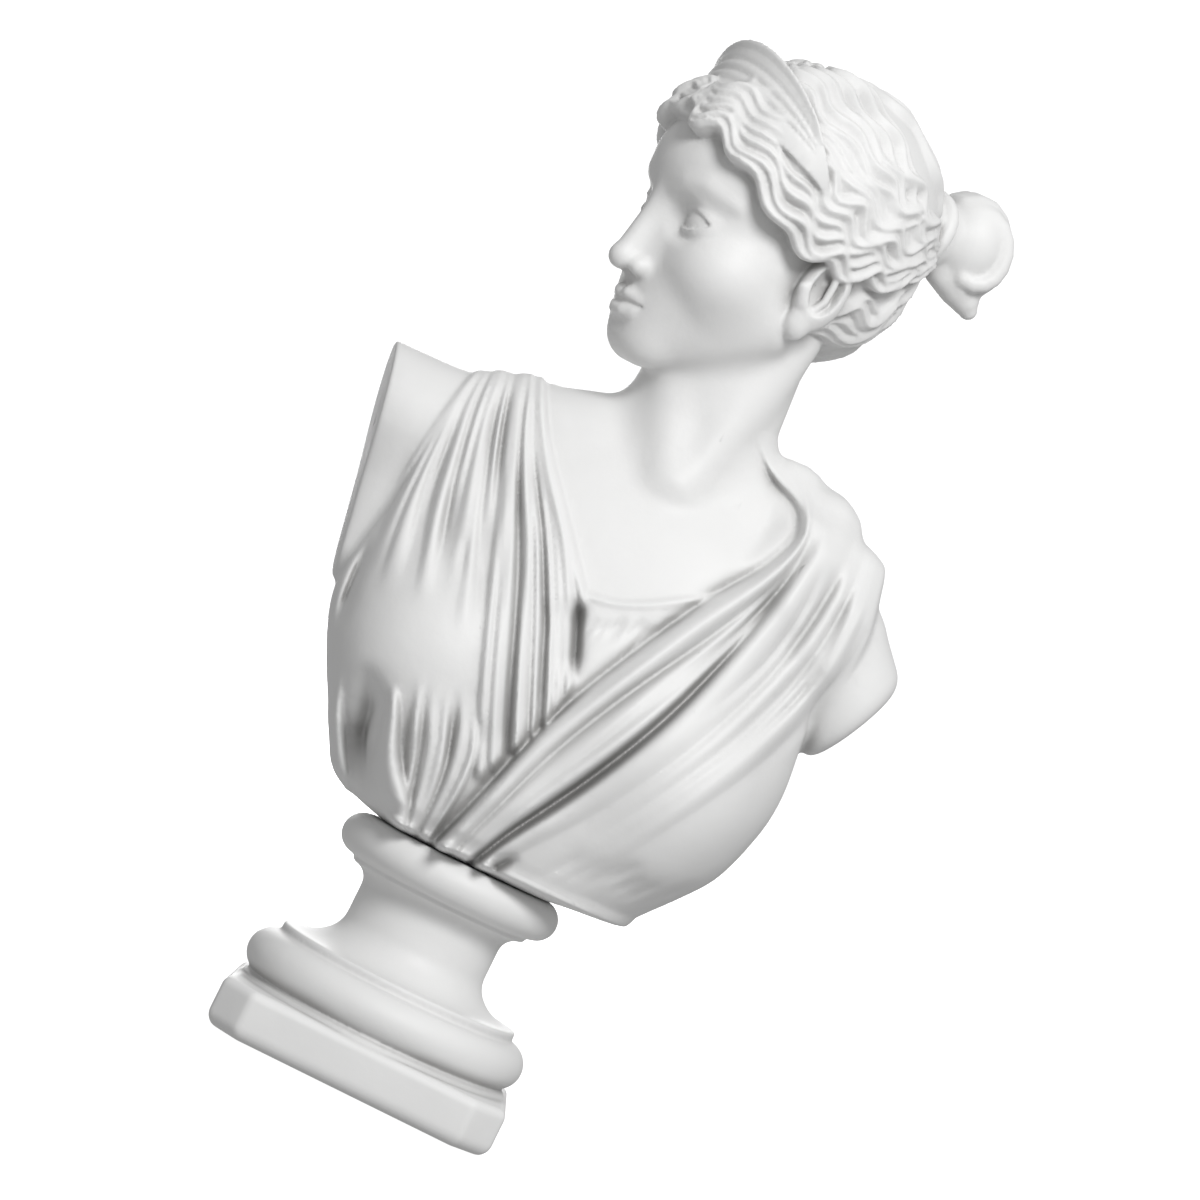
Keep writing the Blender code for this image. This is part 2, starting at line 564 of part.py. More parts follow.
def ear(clay):
    """A shell with a rim, a hollow, a fold inside it, and a lobe."""
    box = ((20, -8, -28), (38, 24, 10))
    turn = turn_matrix(-14, 0, 0) @ turn_matrix(0, -12, 0)
    clay.add(ellipsoid((27.6, 7.6, -7.0), (4.6, 6.8, 11.0), turn), 1.0, box)
    clay.add(ellipsoid((27.0, 4.0, -16.6), (3.0, 3.5, 4.4)), 1.5, box)
    clay.cut(ellipsoid((32.8, 6.6, -5.6), (5.4, 4.5, 8.2), turn), 0.5, box)
    fold = [(29.4, 9.0, 1.4), (29.8, 9.0, -4.0), (29.6, 8.0, -9.0), (29.0, 5.6, -12.4)]
    clay.add(tube(fold, 1.1), 0.7, box)
    clay.cut(ellipsoid((30.8, 4.6, -7.6), (3.2, 2.3, 3.4)), 0.6, box)
    clay.add(cone((28.4, 1.6, -7.0), (28.4, 2.4, -11.0), 1.7, 1.5), 0.8, box)


def face(q):
    half = q.copy()
    half[:, 0] = np.abs(half[:, 0])
    clay = flesh(half)
    clay.add(tube([(4.5, -29.4, 6.6), (9, -29.6, 8.8), (15, -27.0, 9.2), (20.5, -20.5, 6.6)],
                  [1.4, 1.7, 1.5, 0.7]), 3.0,
             ((0, -36, 0), (26, -16, 14)))
    eye(clay)
    mouth(clay)
    ear(clay)
    return clay.d


# Hair: heights over an ellipsoid, in degrees around the head and from front to back
CAP_AT = np.array([0.0, 6.0, 13.0], np.float32)
CAP = np.array([31.5, 41.5, 34.8], np.float32)
HAIRLINE = [(-40, 24), (-34, 22.5), (-28, 19), (-19, 11.5), (-10, 3.5), (1, 0.5), (8, -3),
            (12, -14), (15, -24), (24, -24), (34, -18), (44, -10)]
NAPE_AT = np.array([0.0, 22.0, -6.0], np.float32)
NAPE = np.array([23.0, 19.0, 17.5], np.float32)
NAPE_END = ((0, 20, -8), (0, 12, -22), 15.0, 11.5)
BARE = -4.5

# Guide curves of the locks, as degrees from the crown's middle and degrees from the front
HAIR_FAMILIES = (
    # first guide, last guide, count, half width, height, length of a wave
    ([(3, 25), (40, 22), (72, 38), (96, 56), (108, 72), (112, 90), (113, 106), (112, 124), (104, 150)],
     [(3, 38), (32, 46), (57, 61), (76, 80), (86, 93), (92, 104), (97, 118), (99, 134), (98, 152)],
     6, 2.7, 3.4, 14.0),
    ([(4, 50), (34, 50), (58, 62), (75, 82), (86, 98), (92, 116), (95, 136), (95, 153)],
     [(5, 92), (22, 98), (42, 106), (60, 118), (74, 134), (84, 153)],
     8, 3.3, 2.5, 15.5),
    ([(5, 96), (14, 106), (28, 120), (44, 134), (62, 153)],
     [(2, 108), (4, 120), (6, 136), (10, 153)],
     5, 3.8, 2.3, 17.0),
    ([(118, 92), (122, 108), (124, 124), (118, 142), (110, 155)],
     [(154, 86), (152, 112), (147, 134), (138, 148), (128, 157)],
     7, 2.5, 2.2, 13.0),
    ([(158, 86), (157, 112), (154, 136), (150, 154)],
     [(177, 86), (177, 112), (177, 138), (176, 156)],
     3, 2.6, 2.0, 13.0),
)


def on_cap(angles):
    """Points of the hair's ellipsoid and its outward directions there, from two angles in degrees."""
    around, back = np.radians(angles[..., 0]), np.radians(angles[..., 1])
    unit = np.stack([np.sin(around) * np.sin(back), -np.cos(back), np.cos(around) * np.sin(back)], -1)
    normal = unit / CAP
    normal /= np.linalg.norm(normal, axis=-1, keepdims=True)
    return (CAP_AT + unit * CAP).astype(np.float32), normal.astype(np.float32)


def draw_lock(relief, texels, path, normals, width, height, strands):
    """A rounded lock with finer strands along it."""
    tangent = np.gradient(path, axis=0)
    tangent /= np.linalg.norm(tangent, axis=1)[:, None] + 1e-9
    side = np.cross(normals, tangent)
    reach = width.max()
    inside = np.all((texels > path.min(0) - reach) & (texels < path.max(0) + reach), axis=-1)
    p = texels[inside]
    best = np.full(len(p), 1e6, np.float32)
    lateral = np.zeros(len(p), np.float32)
    half = np.ones(len(p), np.float32)
    rise = np.zeros(len(p), np.float32)
    along = np.zeros(len(p), np.float32)
    for i in range(len(path) - 1):
        axis = path[i + 1] - path[i]
        q = p - path[i]
        t = np.clip(q @ axis / (axis @ axis + 1e-9), 0, 1)
        q = q - t[:, None] * axis
        d = np.sqrt((q * q).sum(1))
        closer = d < best
        best = np.where(closer, d, best)
        lateral = np.where(closer, q @ side[i], lateral)
        half = np.where(closer, width[i] + (width[i + 1] - width[i]) * t, half)
        rise = np.where(closer, height[i] + (height[i + 1] - height[i]) * t, rise)
        along = np.where(closer, (i + t) / (len(path) - 1), along)
    share = best / half
    profile = np.sqrt(np.clip(1 - share * share, 0, 1))
    cuts = (0.5 - 0.5 * np.cos(lateral / half * math.pi * strands)) * smoothstep(0.03, 0.15, along)
    lift = BARE + (rise - BARE) * profile - 0.7 * cuts * profile
    lift = np.where(share < 1, lift, BARE)
    flat = relief.h[inside]
    relief.h[inside] = np.maximum(flat, lift)


def hair_relief(pitch):
    """Wavy locks drawn from the parting and the nape back to the knot."""
    relief = Relief((-180, 12), (180, 172), pitch)
    relief.h[:] = BARE
    texels, _ = on_cap(np.stack([relief.u, relief.v], -1))
    line = curve(HAIRLINE, 60)
    dist, share, _ = path_distance(texels[..., 1], texels[..., 2], line)
    at = np.clip((share * (len(line) - 1)).astype(int), 0, len(line) - 2)
    a, b = line[at], line[at + 1]
    turn = ((b[..., 0] - a[..., 0]) * (texels[..., 2] - a[..., 1])
            - (b[..., 1] - a[..., 1]) * (texels[..., 1] - a[..., 0]))
    inside = np.where(turn > 0, dist, -dist)
    relief.h = BARE + (-BARE - 0.8) * smoothstep(0.5, 2.5, inside)
    rng = np.random.default_rng(5)
    for first, last, count, width, height, wave in HAIR_FAMILIES:
        for sign in (-1, 1):
            for share, angles in between(first, last, count, rng, 0.2, 54):
                wavy_lock(relief, texels, angles * (sign, 1), width, height, wave, count * share, rng)
    relief.soften(1)
    return relief


def wavy_lock(relief, texels, angles, width, height, wave, order, rng):
    """One lock, which swings from side to side nearly in step with its neighbours."""
    path, normals = on_cap(angles)
    steps = np.linalg.norm(np.diff(path, axis=0), axis=1)
    run = np.concatenate([[0], np.cumsum(steps)])
    share = run / run[-1]
    phase = run * (2 * math.pi / (wave * rng.uniform(0.94, 1.06))) + 0.5 * order + rng.uniform(-0.45, 0.45)
    phase = phase + 0.7 * np.sin(run / 11 + 0.4 * order)
    tangent = np.gradient(path, axis=0)
    side = np.cross(normals, tangent)
    side /= np.linalg.norm(side, axis=1)[:, None] + 1e-9
    swing = rng.uniform(1.2, 1.9) * (1 + 0.35 * np.sin(run / 9 + 0.3 * order))
    swing = swing * smoothstep(0, 0.08, share) * smoothstep(0, 0.15, 1 - share)
    path = path + side * (swing * np.sin(phase))[:, None]
    wide = width * rng.uniform(0.85, 1.15) * (0.6 + 0.4 * smoothstep(0, 0.1, share))
    wide = wide * (1 - 0.3 * smoothstep(0.6, 1.0, share))
    high = height * rng.uniform(0.6, 1.2) * (0.95 + 0.15 * np.cos(phase))
    high = high * (0.6 + 0.4 * smoothstep(0, 0.12, share)) * (1 - 0.2 * smoothstep(0.7, 1, share))
    draw_lock(relief, texels, path.astype(np.float32), normals, wide, high, rng.choice((2.0, 3.0, 4.0)))


def hair(q, relief):
    unit = (q - CAP_AT) / CAP
    length = np.maximum(np.linalg.norm(unit, axis=1), 1e-4)
    around = np.degrees(np.arctan2(unit[:, 0], unit[:, 2]))
    back = np.degrees(np.arccos(np.clip(-unit[:, 1] / length, -1, 1)))
    shell = smooth_min(ellipsoid(CAP_AT, CAP)(q), ellipsoid(NAPE_AT, NAPE)(q), 7)
    shell = smooth_min(shell, cone(*NAPE_END)(q), 5)
    return shell - relief.read(around, back)


KNOT_AT = (0.0, 62.0, 16.5)


def knot(q):
    """The knot at the back: a short stalk, twisted rolls over a ball and a loose end below."""
    clay = Clay(q, cone((0, 36, 14), (0, 56, 17), 12.5, 8.5))
    clay.add(ellipsoid(KNOT_AT, (11.5, 9.6, 12.8)), 2.0)
    for i, offset in enumerate((-9.0, -4.6, 0.0, 4.4, 8.8)):
        turns = np.linspace(-2.1, 1.9, 11)
        shrink = math.sqrt(1 - (offset / 14) ** 2)
        path = [(KNOT_AT[0] + offset * (1 - 0.08 * t * t) + 2.2 * math.sin(0.8 * t + 0.5),
                 KNOT_AT[1] + 8.9 * shrink * math.cos(t),
                 KNOT_AT[2] - 11.9 * shrink * math.sin(t)) for t in turns]
        clay.add(tube(path, 2.5 + 0.5 * (i % 2)), 0.8)
    clay.add(tube([(2, 56, 8), (4, 61.5, 4.5), (5, 65, 2.2), (5.6, 66.5, 0.2)], [4.5, 4.6, 3.8, 2.6]), 1.5)
    wrap = [(11 * math.cos(t), 47.5 + 1.6 * math.sin(2 * t), 15.5 + 10.5 * math.sin(t))
            for t in np.linspace(-0.6, 2 * math.pi - 0.9, 22)]
    clay.add(tube(wrap, np.linspace(2.2, 3.3, 22)), 1.4)
    clay.add(tube([(x * 0.93, y - 3.8, 15.5 + (z - 15.5) * 0.95) for x, y, z in wrap[4:]], 2.2), 1.2)
    return clay.d


DIADEM_LEAN = math.radians(26)
DIADEM_RADIUS = 22.3
DIADEM_HALF_WIDTH = 32.0
DIADEM_AT = 14.8
DIADEM_RISE = 16.0


def diadem(q):
    """A crescent band: a leaning cylinder shell between two planes that meet near its tips."""
    u = q[:, 1] * math.sin(DIADEM_LEAN) + q[:, 2] * math.cos(DIADEM_LEAN)
    v = q[:, 2] * math.sin(DIADEM_LEAN) - q[:, 1] * math.cos(DIADEM_LEAN)
    base = 17.0 + (v - DIADEM_AT) * 0.08
    top = 17.5 + (v - DIADEM_AT) * DIADEM_RISE / DIADEM_RADIUS
    share = np.clip((u - base) / np.maximum(top - base, 0.5), 0, 1.2)
    x = q[:, 0] * DIADEM_RADIUS / DIADEM_HALF_WIDTH
    r = (np.abs(x) ** 1.9 + np.abs(v - DIADEM_AT) ** 1.9) ** (1 / 1.9) - DIADEM_RADIUS - 0.04 * (u - 18)
    front = smoothstep(2.5, 8.0, top - base)
    thick = 1.0 + 0.6 * smoothstep(0.84, 0.92, share) * front
    for at in (0.2, 0.42, 0.64):
        thick = thick - 0.5 * np.exp(-(((share - at) / 0.05) ** 2)) * front
    d = smooth_max(np.abs(r) - thick, (u - top) * 0.85, 0.5)
    return np.maximum(d, base - 3.5 - u)


class Figure:
    """The whole bust as one distance field."""

    def __init__(self, pitch):
        self.front = front_relief(pitch)
        self.back = back_relief(pitch)
        self.locks = hair_relief(2.0 * pitch)

    def dress(self, p):
        facing = smoothstep(2.0, 12.0, p[:, 1])
        ahead = self.front.read(p[:, 0], p[:, 2])
        return ahead + (self.back.read(p[:, 0], p[:, 2]) - ahead) * facing

    def __call__(self, p):
        d = np.full(len(p), HIGH, np.float32)
        low = np.flatnonzero(p[:, 2] < 175)
        trunk = body(p[low])
        near = np.flatnonzero(np.abs(trunk) < 12)
        trunk[near] -= self.dress(p[low][near])
        for stump in arms(p[low]):
            trunk = smooth_min(trunk, stump, 2.5)
        d[low] = smooth_min(trunk, neck(p[low]), 6)
        high = np.flatnonzero(p[:, 2] > 120)
        q = to_head(p[high])
        head = smooth_min(d[high], face(q), 4)
        head = smooth_min(head, hair(q, self.locks), 0.6)
        head = smooth_min(head, knot(q), 1.0)
        d[high] = smooth_min(head, diadem(q), 1.0)
        return smooth_max(d, -p[:, 2], 0.6)


def carve(field, low, high, cell, levels=3):
    """A closed mesh of the field's surface: the grid is refined where the surface passes."""
    low = np.array(low, np.float32)
    step = cell * 2 ** levels
    counts = np.ceil((np.array(high, np.float32) - low) / step).astype(int) + 1
    grid = None
    for level in range(levels + 1):
        if grid is None:
            grid = np.empty(counts, np.float32)
            at = np.arange(grid.size)
        else:
            for axis in range(3):
                grid = np.repeat(grid, 2, axis)
            at = np.flatnonzero(np.abs(grid.ravel()) < 3.2 * step)
            step = step / 2
        corner = np.stack(np.unravel_index(at, grid.shape), 1).astype(np.float32)
        flat = grid.ravel()
        for first in range(0, len(at), 400000):
            some = slice(first, first + 400000)
            flat[at[some]] = field(corner[some] * np.float32(step) + low)
        grid = flat.reshape(grid.shape)
    volume = openvdb.FloatGrid(4.0 * cell)
    volume.copyFromArray(np.clip(grid, -3 * cell, 3 * cell))
    points, triangles, quads = volume.convertToPolygons()
    return largest_shell(points * cell + low, quads)


def largest_shell(points, quads):
    """The mesh without the small bubbles that are closed in where shapes meet."""
    label = np.arange(len(points))
    ends = np.concatenate([quads[:, (0, 1)], quads[:, (1, 2)]])
    while True:
        lowest = np.minimum(label[ends[:, 0]], label[ends[:, 1]])
        known = label.copy()
        np.minimum.at(label, ends[:, 0], lowest)
        np.minimum.at(label, ends[:, 1], lowest)
        label = label[label]
        if np.array_equal(known, label):
            break
    names, sizes = np.unique(label, return_counts=True)
    kept = label == names[sizes.argmax()]
    number = np.cumsum(kept) - 1
    faces = number[quads[kept[quads[:, 0]]]]
    return points[kept], faces.tolist()


# Objects

def clear_scene():
    for thing in list(bpy.data.objects):
        bpy.data.objects.remove(thing, do_unlink=True)


def collection(name):
    made = bpy.data.collections.new(name)
    bpy.context.scene.collection.children.link(made)
    return made


def plaster(name, colour, roughness):
    material = bpy.data.materials.new(name)
    material.use_nodes = True
    shader = material.node_tree.nodes["Principled BSDF"]
    shader.inputs["Base Color"].default_value = (*colour, 1)
    shader.inputs["Roughness"].default_value = roughness
    shader.inputs["Metallic"].default_value = 0.0
    return material


def mesh_object(name, mesh, group, material):
    thing = bpy.data.objects.new(name, mesh)
    mesh.materials.append(material)
    group.objects.link(thing)
    return thing


def arc(centre, radii, start, end, steps):
    """Points (radius, height) of an elliptic arc between two angles in degrees."""
    angles = np.radians(np.linspace(start, end, steps))
    return [(centre[0] + radii[0] * math.cos(a), centre[1] + radii[1] * math.sin(a)) for a in angles]


def socle_profile():
    """The turned part's outer line, from the middle of its top down to the block."""
    half_cap = CAP_TORUS_HEIGHT / 2
    half_base = BASE_TORUS_HEIGHT / 2
    cap = SOCLE_HEIGHT - CAP_TORUS_HEIGHT
    stem_top = cap - CAP_FILLET_HEIGHT
    stem_foot = stem_top - STEM_HEIGHT
    base = stem_foot - BASE_FILLET_HEIGHT - BASE_TORUS_HEIGHT
    sunk = BLOCK_HEIGHT - BLOCK_TOP_ROUNDING / 2
    points = [(0.0, SOCLE_HEIGHT)]
    points += arc((CAP_TORUS_RADIUS - half_cap, cap + half_cap), (half_cap, half_cap), 90, -90, 7)
    points += [(CAP_FILLET_RADIUS, cap), (CAP_FILLET_RADIUS, stem_top)]
    points += arc((STEM_RADIUS + TOP_FLARE[0], stem_top - TOP_FLARE[1]), TOP_FLARE, 90, 180, 4)
    points += arc((STEM_RADIUS + FOOT_FLARE[0], stem_foot + FOOT_FLARE[1]), FOOT_FLARE, 180, 270, 6)
    points += [(BASE_FILLET_RADIUS, stem_foot), (BASE_FILLET_RADIUS, stem_foot - BASE_FILLET_HEIGHT)]
    points += arc((BASE_TORUS_RADIUS - half_base, base + half_base), (half_base, half_base), 90, -90, 7)
    points += [(COVE_RADIUS, base), (COVE_RADIUS, sunk), (0.0, sunk)]
    return points


def turned(name, profile, group, material):
    """A solid of revolution from a profile of (radius, height) that runs from top to bottom."""
    mesh = bpy.data.meshes.new(name)
    mesh.from_pydata([(radius, 0.0, height) for radius, height in profile],
                     [(i, i + 1) for i in range(len(profile) - 1)], [])
    thing = mesh_object(name, mesh, group, material)
    screw = thing.modifiers.new("Turning", "SCREW")
    screw.steps = TURNED_STEPS
    screw.render_steps = TURNED_STEPS
    screw.use_merge_vertices = True
    screw.merge_threshold = 0.00001
    return thing


def square_block(name, group, material):
    """A square block with cut corners and rounded edges."""
    mesh = bpy.data.meshes.new(name)
    shape = bmesh.new()
    bmesh.ops.create_cube(shape, size=1.0)
    size = Matrix.Diagonal((BLOCK_WIDTH, BLOCK_WIDTH, BLOCK_HEIGHT, 1.0))
    bmesh.ops.transform(shape, matrix=Matrix.Translation((0, 0, BLOCK_HEIGHT / 2)) @ size, verts=shape.verts)
    upright = [edge for edge in shape.edges
               if abs((edge.verts[0].co - edge.verts[1].co).normalized().dot(Vector((0, 0, 1)))) > 0.9]
    bmesh.ops.bevel(shape, geom=upright, offset=BLOCK_CHAMFER, segments=1, affect="EDGES")
    for height, rounding in ((0.0, BLOCK_FOOT_ROUNDING), (BLOCK_HEIGHT, BLOCK_TOP_ROUNDING)):
        rim = [edge for edge in shape.edges if all(abs(vert.co.z - height) < 1e-6 for vert in edge.verts)]
        bmesh.ops.bevel(shape, geom=rim, offset=rounding, segments=4, profile=0.5, affect="EDGES")
    shape.to_mesh(mesh)
    shape.free()
    thing = mesh_object(name, mesh, group, material)
    bevel = thing.modifiers.new("Rounding", "BEVEL")
    bevel.width = CORNER_ROUNDING
    bevel.segments = 2
    bevel.limit_method = "ANGLE"
    bevel.angle_limit = math.radians(30)
    return thing


def socle(group, helpers):
    material = plaster("socle plaster", (0.86, 0.86, 0.85), 0.62)
    block = square_block("socle", group, material)
    stem = turned("socle turned part", socle_profile(), helpers, material)
    stem.hide_render = True
    stem.display_type = "WIRE"
    union = block.modifiers.new("Turned part", "BOOLEAN")
    union.operation = "UNION"
    union.solver = "EXACT"
    union.object = stem
    block.data.shade_smooth()
    return block


def bust(group):
    points, faces = carve(Figure(RELIEF_PITCH), (-92, -64, -4), (96, 66, 240), CARVING_CELL)
    mesh = bpy.data.meshes.new("bust")
    mesh.from_pydata((points * PART).tolist(), [], faces)
    mesh.shade_smooth()
    thing = mesh_object("bust", mesh, group, plaster("bust plaster", (0.87, 0.87, 0.86), 0.6))
    thing.location.z = BUST_BASE
    thinner = thing.modifiers.new("Fewer faces", "DECIMATE")
    thinner.ratio = BUST_TRIANGLES / (2 * len(faces))
    thinner.use_collapse_triangulate = True
    return thing


def main():
    clear_scene()
    parts = collection("classical_bust")
    helpers = collection("cutters")
    socle(parts, helpers)
    bust(parts)


main()
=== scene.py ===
"""The finished look of the plaster bust and its socle, on a pale studio sweep.

The bust is one distance field of round shapes that blend into each other, with height maps of folds and
locks over them. The socle is turned and joined to its block. Metres, +Z up, and -Y is the front. The
bust's own shapes are in parts, one millimetre each at its real height.
"""
import math

import bmesh
import bpy
import numpy as np
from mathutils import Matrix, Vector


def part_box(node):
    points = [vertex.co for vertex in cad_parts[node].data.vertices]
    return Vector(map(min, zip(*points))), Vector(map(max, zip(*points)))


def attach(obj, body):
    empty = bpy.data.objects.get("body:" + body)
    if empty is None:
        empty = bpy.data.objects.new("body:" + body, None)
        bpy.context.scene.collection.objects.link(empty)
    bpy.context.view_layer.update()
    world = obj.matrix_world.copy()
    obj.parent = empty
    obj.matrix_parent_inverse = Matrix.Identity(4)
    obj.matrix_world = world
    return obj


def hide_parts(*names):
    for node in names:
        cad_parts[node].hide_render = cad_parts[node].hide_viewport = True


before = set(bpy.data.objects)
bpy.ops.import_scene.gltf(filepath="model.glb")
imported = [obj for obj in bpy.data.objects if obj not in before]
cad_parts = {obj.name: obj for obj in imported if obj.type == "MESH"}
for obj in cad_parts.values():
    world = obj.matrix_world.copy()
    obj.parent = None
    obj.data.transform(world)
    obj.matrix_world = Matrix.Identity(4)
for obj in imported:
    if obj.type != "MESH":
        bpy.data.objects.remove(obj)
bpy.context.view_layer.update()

import openvdb
from mathutils import Matrix, Vector

# The camera, as the photograph shows the bust: from the front, rolled so that it leans
PHOTO_PIXELS = 1200
FOCAL_PIXELS = 4187
SENSOR = 36.0
CAMERA_DISTANCE = 1.1
CAMERA_HEIGHT = 0.11
CAMERA_CLIP = (0.05, 30)
LOOK_UP = math.radians(1.655)
LOOK_RIGHT = math.radians(0.164)
LEAN = math.radians(26.3)

# The bust's place and height, in metres, and the length of one of its parts
FIT_GAP = 0.0003
BUST_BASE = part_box("socle")[1].z + FIT_GAP
BUST_HEIGHT = 0.231
PARTS_HIGH = 231
PART = BUST_HEIGHT / PARTS_HIGH

# How the bust is carved, in parts: the block, its cells and the points of the height maps
CARVING_LOW = (-92, -64, -4)
CARVING_HIGH = (96, 66, 240)
CARVING_CELL = 0.52
RELIEF_PITCH = 0.25

# How near to the surface the grid is refined and kept, in cells, how many points are worked out at
# once, and how many triangles stay
SURFACE_REACH = 3.2
BAND_CELLS = 3
BATCH = 400000
BUST_TRIANGLES = 190000

# A distance beyond every shape, and how far outside its box a shape still blends
FAR = 99.0
BLEND_MARGIN = 6.0


# Tools for distances

def numbers(values):
    return np.array(values, np.float32)


def smooth_min(a, b, k):
    """The lower of two distances, blended where they differ by less than k."""
    h = np.clip(0.5 + 0.5 * (b - a) / k, 0.0, 1.0)
    return b + (a - b) * h - k * h * (1.0 - h)


def smooth_max(a, b, k):
    return -smooth_min(-a, -b, k)


def smoothstep(low, high, value):
    t = np.clip((value - low) / (high - low), 0.0, 1.0)
    return t * t * (3.0 - 2.0 * t)


def turn_matrix(yaw, pitch, roll):
    """Turns in degrees about Z, X and Y."""
    y, p, r = (math.radians(angle) for angle in (yaw, pitch, roll))
    about_z = np.array([[math.cos(y), -math.sin(y), 0], [math.sin(y), math.cos(y), 0], [0, 0, 1]])
    about_x = np.array([[1, 0, 0], [0, math.cos(p), -math.sin(p)], [0, math.sin(p), math.cos(p)]])
    about_y = np.array([[math.cos(r), 0, math.sin(r)], [0, 1, 0], [-math.sin(r), 0, math.cos(r)]])
    return (about_z @ about_x @ about_y).astype(np.float32)


def ellipsoid(centre, radii, turn=None):
    centre = numbers(centre)
    radii = numbers(radii)

    def distance(p):
        q = p - centre
        if turn is not None:
            q = q @ turn
        near = np.linalg.norm(q / radii, axis=1)
        steep = np.linalg.norm(q / (radii * radii), axis=1)
        return near * (near - 1.0) / np.maximum(steep, 1e-6)

    return distance


def cone(start, end, r0, r1):
    """A round-ended cone from start to end."""
    start = numbers(start)
    axis = numbers(end) - start

    def distance(p):
        q = p - start
        t = np.clip(q @ axis / (axis @ axis), 0.0, 1.0)
        return np.linalg.norm(q - t[:, None] * axis, axis=1) - (r0 + (r1 - r0) * t)

    return distance


def tube(path, radii):
    """Round-ended cones along a path."""
    path = numbers(path)
    radii = np.broadcast_to(numbers(radii), (len(path),))
    pieces = [cone(path[i], path[i + 1], radii[i], radii[i + 1]) for i in range(len(path) - 1)]

    def distance(p):
        d = pieces[0](p)
        for piece in pieces[1:]:
            d = np.minimum(d, piece(p))
        return d

    return distance


def plane(point, normal):
    normal = numbers(normal)
    normal /= np.linalg.norm(normal)
    point = numbers(point)
    return lambda p: (p - point) @ normal


class Clay:
    """A distance field at some points, which shapes are added to and cut from."""

    def __init__(self, points, first):
        self.p = points
        self.d = first(points)

    def near(self, low, high, margin):
        """The points in a box and in a margin around it."""
        inside = np.ones(len(self.p), bool)
        for axis in range(3):
            inside &= self.p[:, axis] > low[axis] - margin
            inside &= self.p[:, axis] < high[axis] + margin
        return np.flatnonzero(inside)

    def add(self, shape, k=1.0, box=None):
        at = slice(None) if box is None else self.near(*box, BLEND_MARGIN)
        self.d[at] = smooth_min(self.d[at], shape(self.p[at]), k)

    def cut(self, shape, k=1.0, box=None):
        at = slice(None) if box is None else self.near(*box, BLEND_MARGIN)
        self.d[at] = smooth_max(self.d[at], -shape(self.p[at]), k)


# Curves and reliefs

def curve(points, steps):
    """A smooth curve (Catmull-Rom) through the points."""
    pts = np.array(points, np.float64)
    pts = np.vstack([2 * pts[0] - pts[1], pts, 2 * pts[-1] - pts[-2]])
    spans = len(pts) - 3
    out = []
    for u in np.linspace(0, spans, steps):
        i = min(int(u), spans - 1)
        t = u - i
        a, b, c, d = pts[i:i + 4]
        bend = (2 * a - 5 * b + 4 * c - d) * t * t + (3 * b - a - 3 * c + d) * t ** 3
        out.append(0.5 * (2 * b + (c - a) * t + bend))
    return numbers(out)


def across(points, value):
    """The first coordinate of a curve, read at values of its second."""
    fine = curve(points, 160)
    order = np.argsort(fine[:, 1])
    return np.interp(value, fine[order, 1], fine[order, 0]).astype(np.float32)


def path_distance(u, v, path):
    """Distance from (u, v) to a flat path, the share of its length there, and the side as a sign."""
    best = np.full(u.shape, 1e9, np.float32)
    share = np.zeros(u.shape, np.float32)
    side = np.ones(u.shape, np.float32)
    spans = len(path) - 1
    for i in range(spans):
        au, av = path[i]
        du, dv = path[i + 1] - path[i]
        t = np.clip(((u - au) * du + (v - av) * dv) / (du * du + dv * dv + 1e-9), 0, 1)
        reach = np.hypot(u - au - t * du, v - av - t * dv)
        closer = reach < best
        best = np.where(closer, reach, best)
        share = np.where(closer, (i + t) / spans, share)
        side = np.where(closer, np.sign(du * (v - av) - dv * (u - au)), side)
    return best, share, side


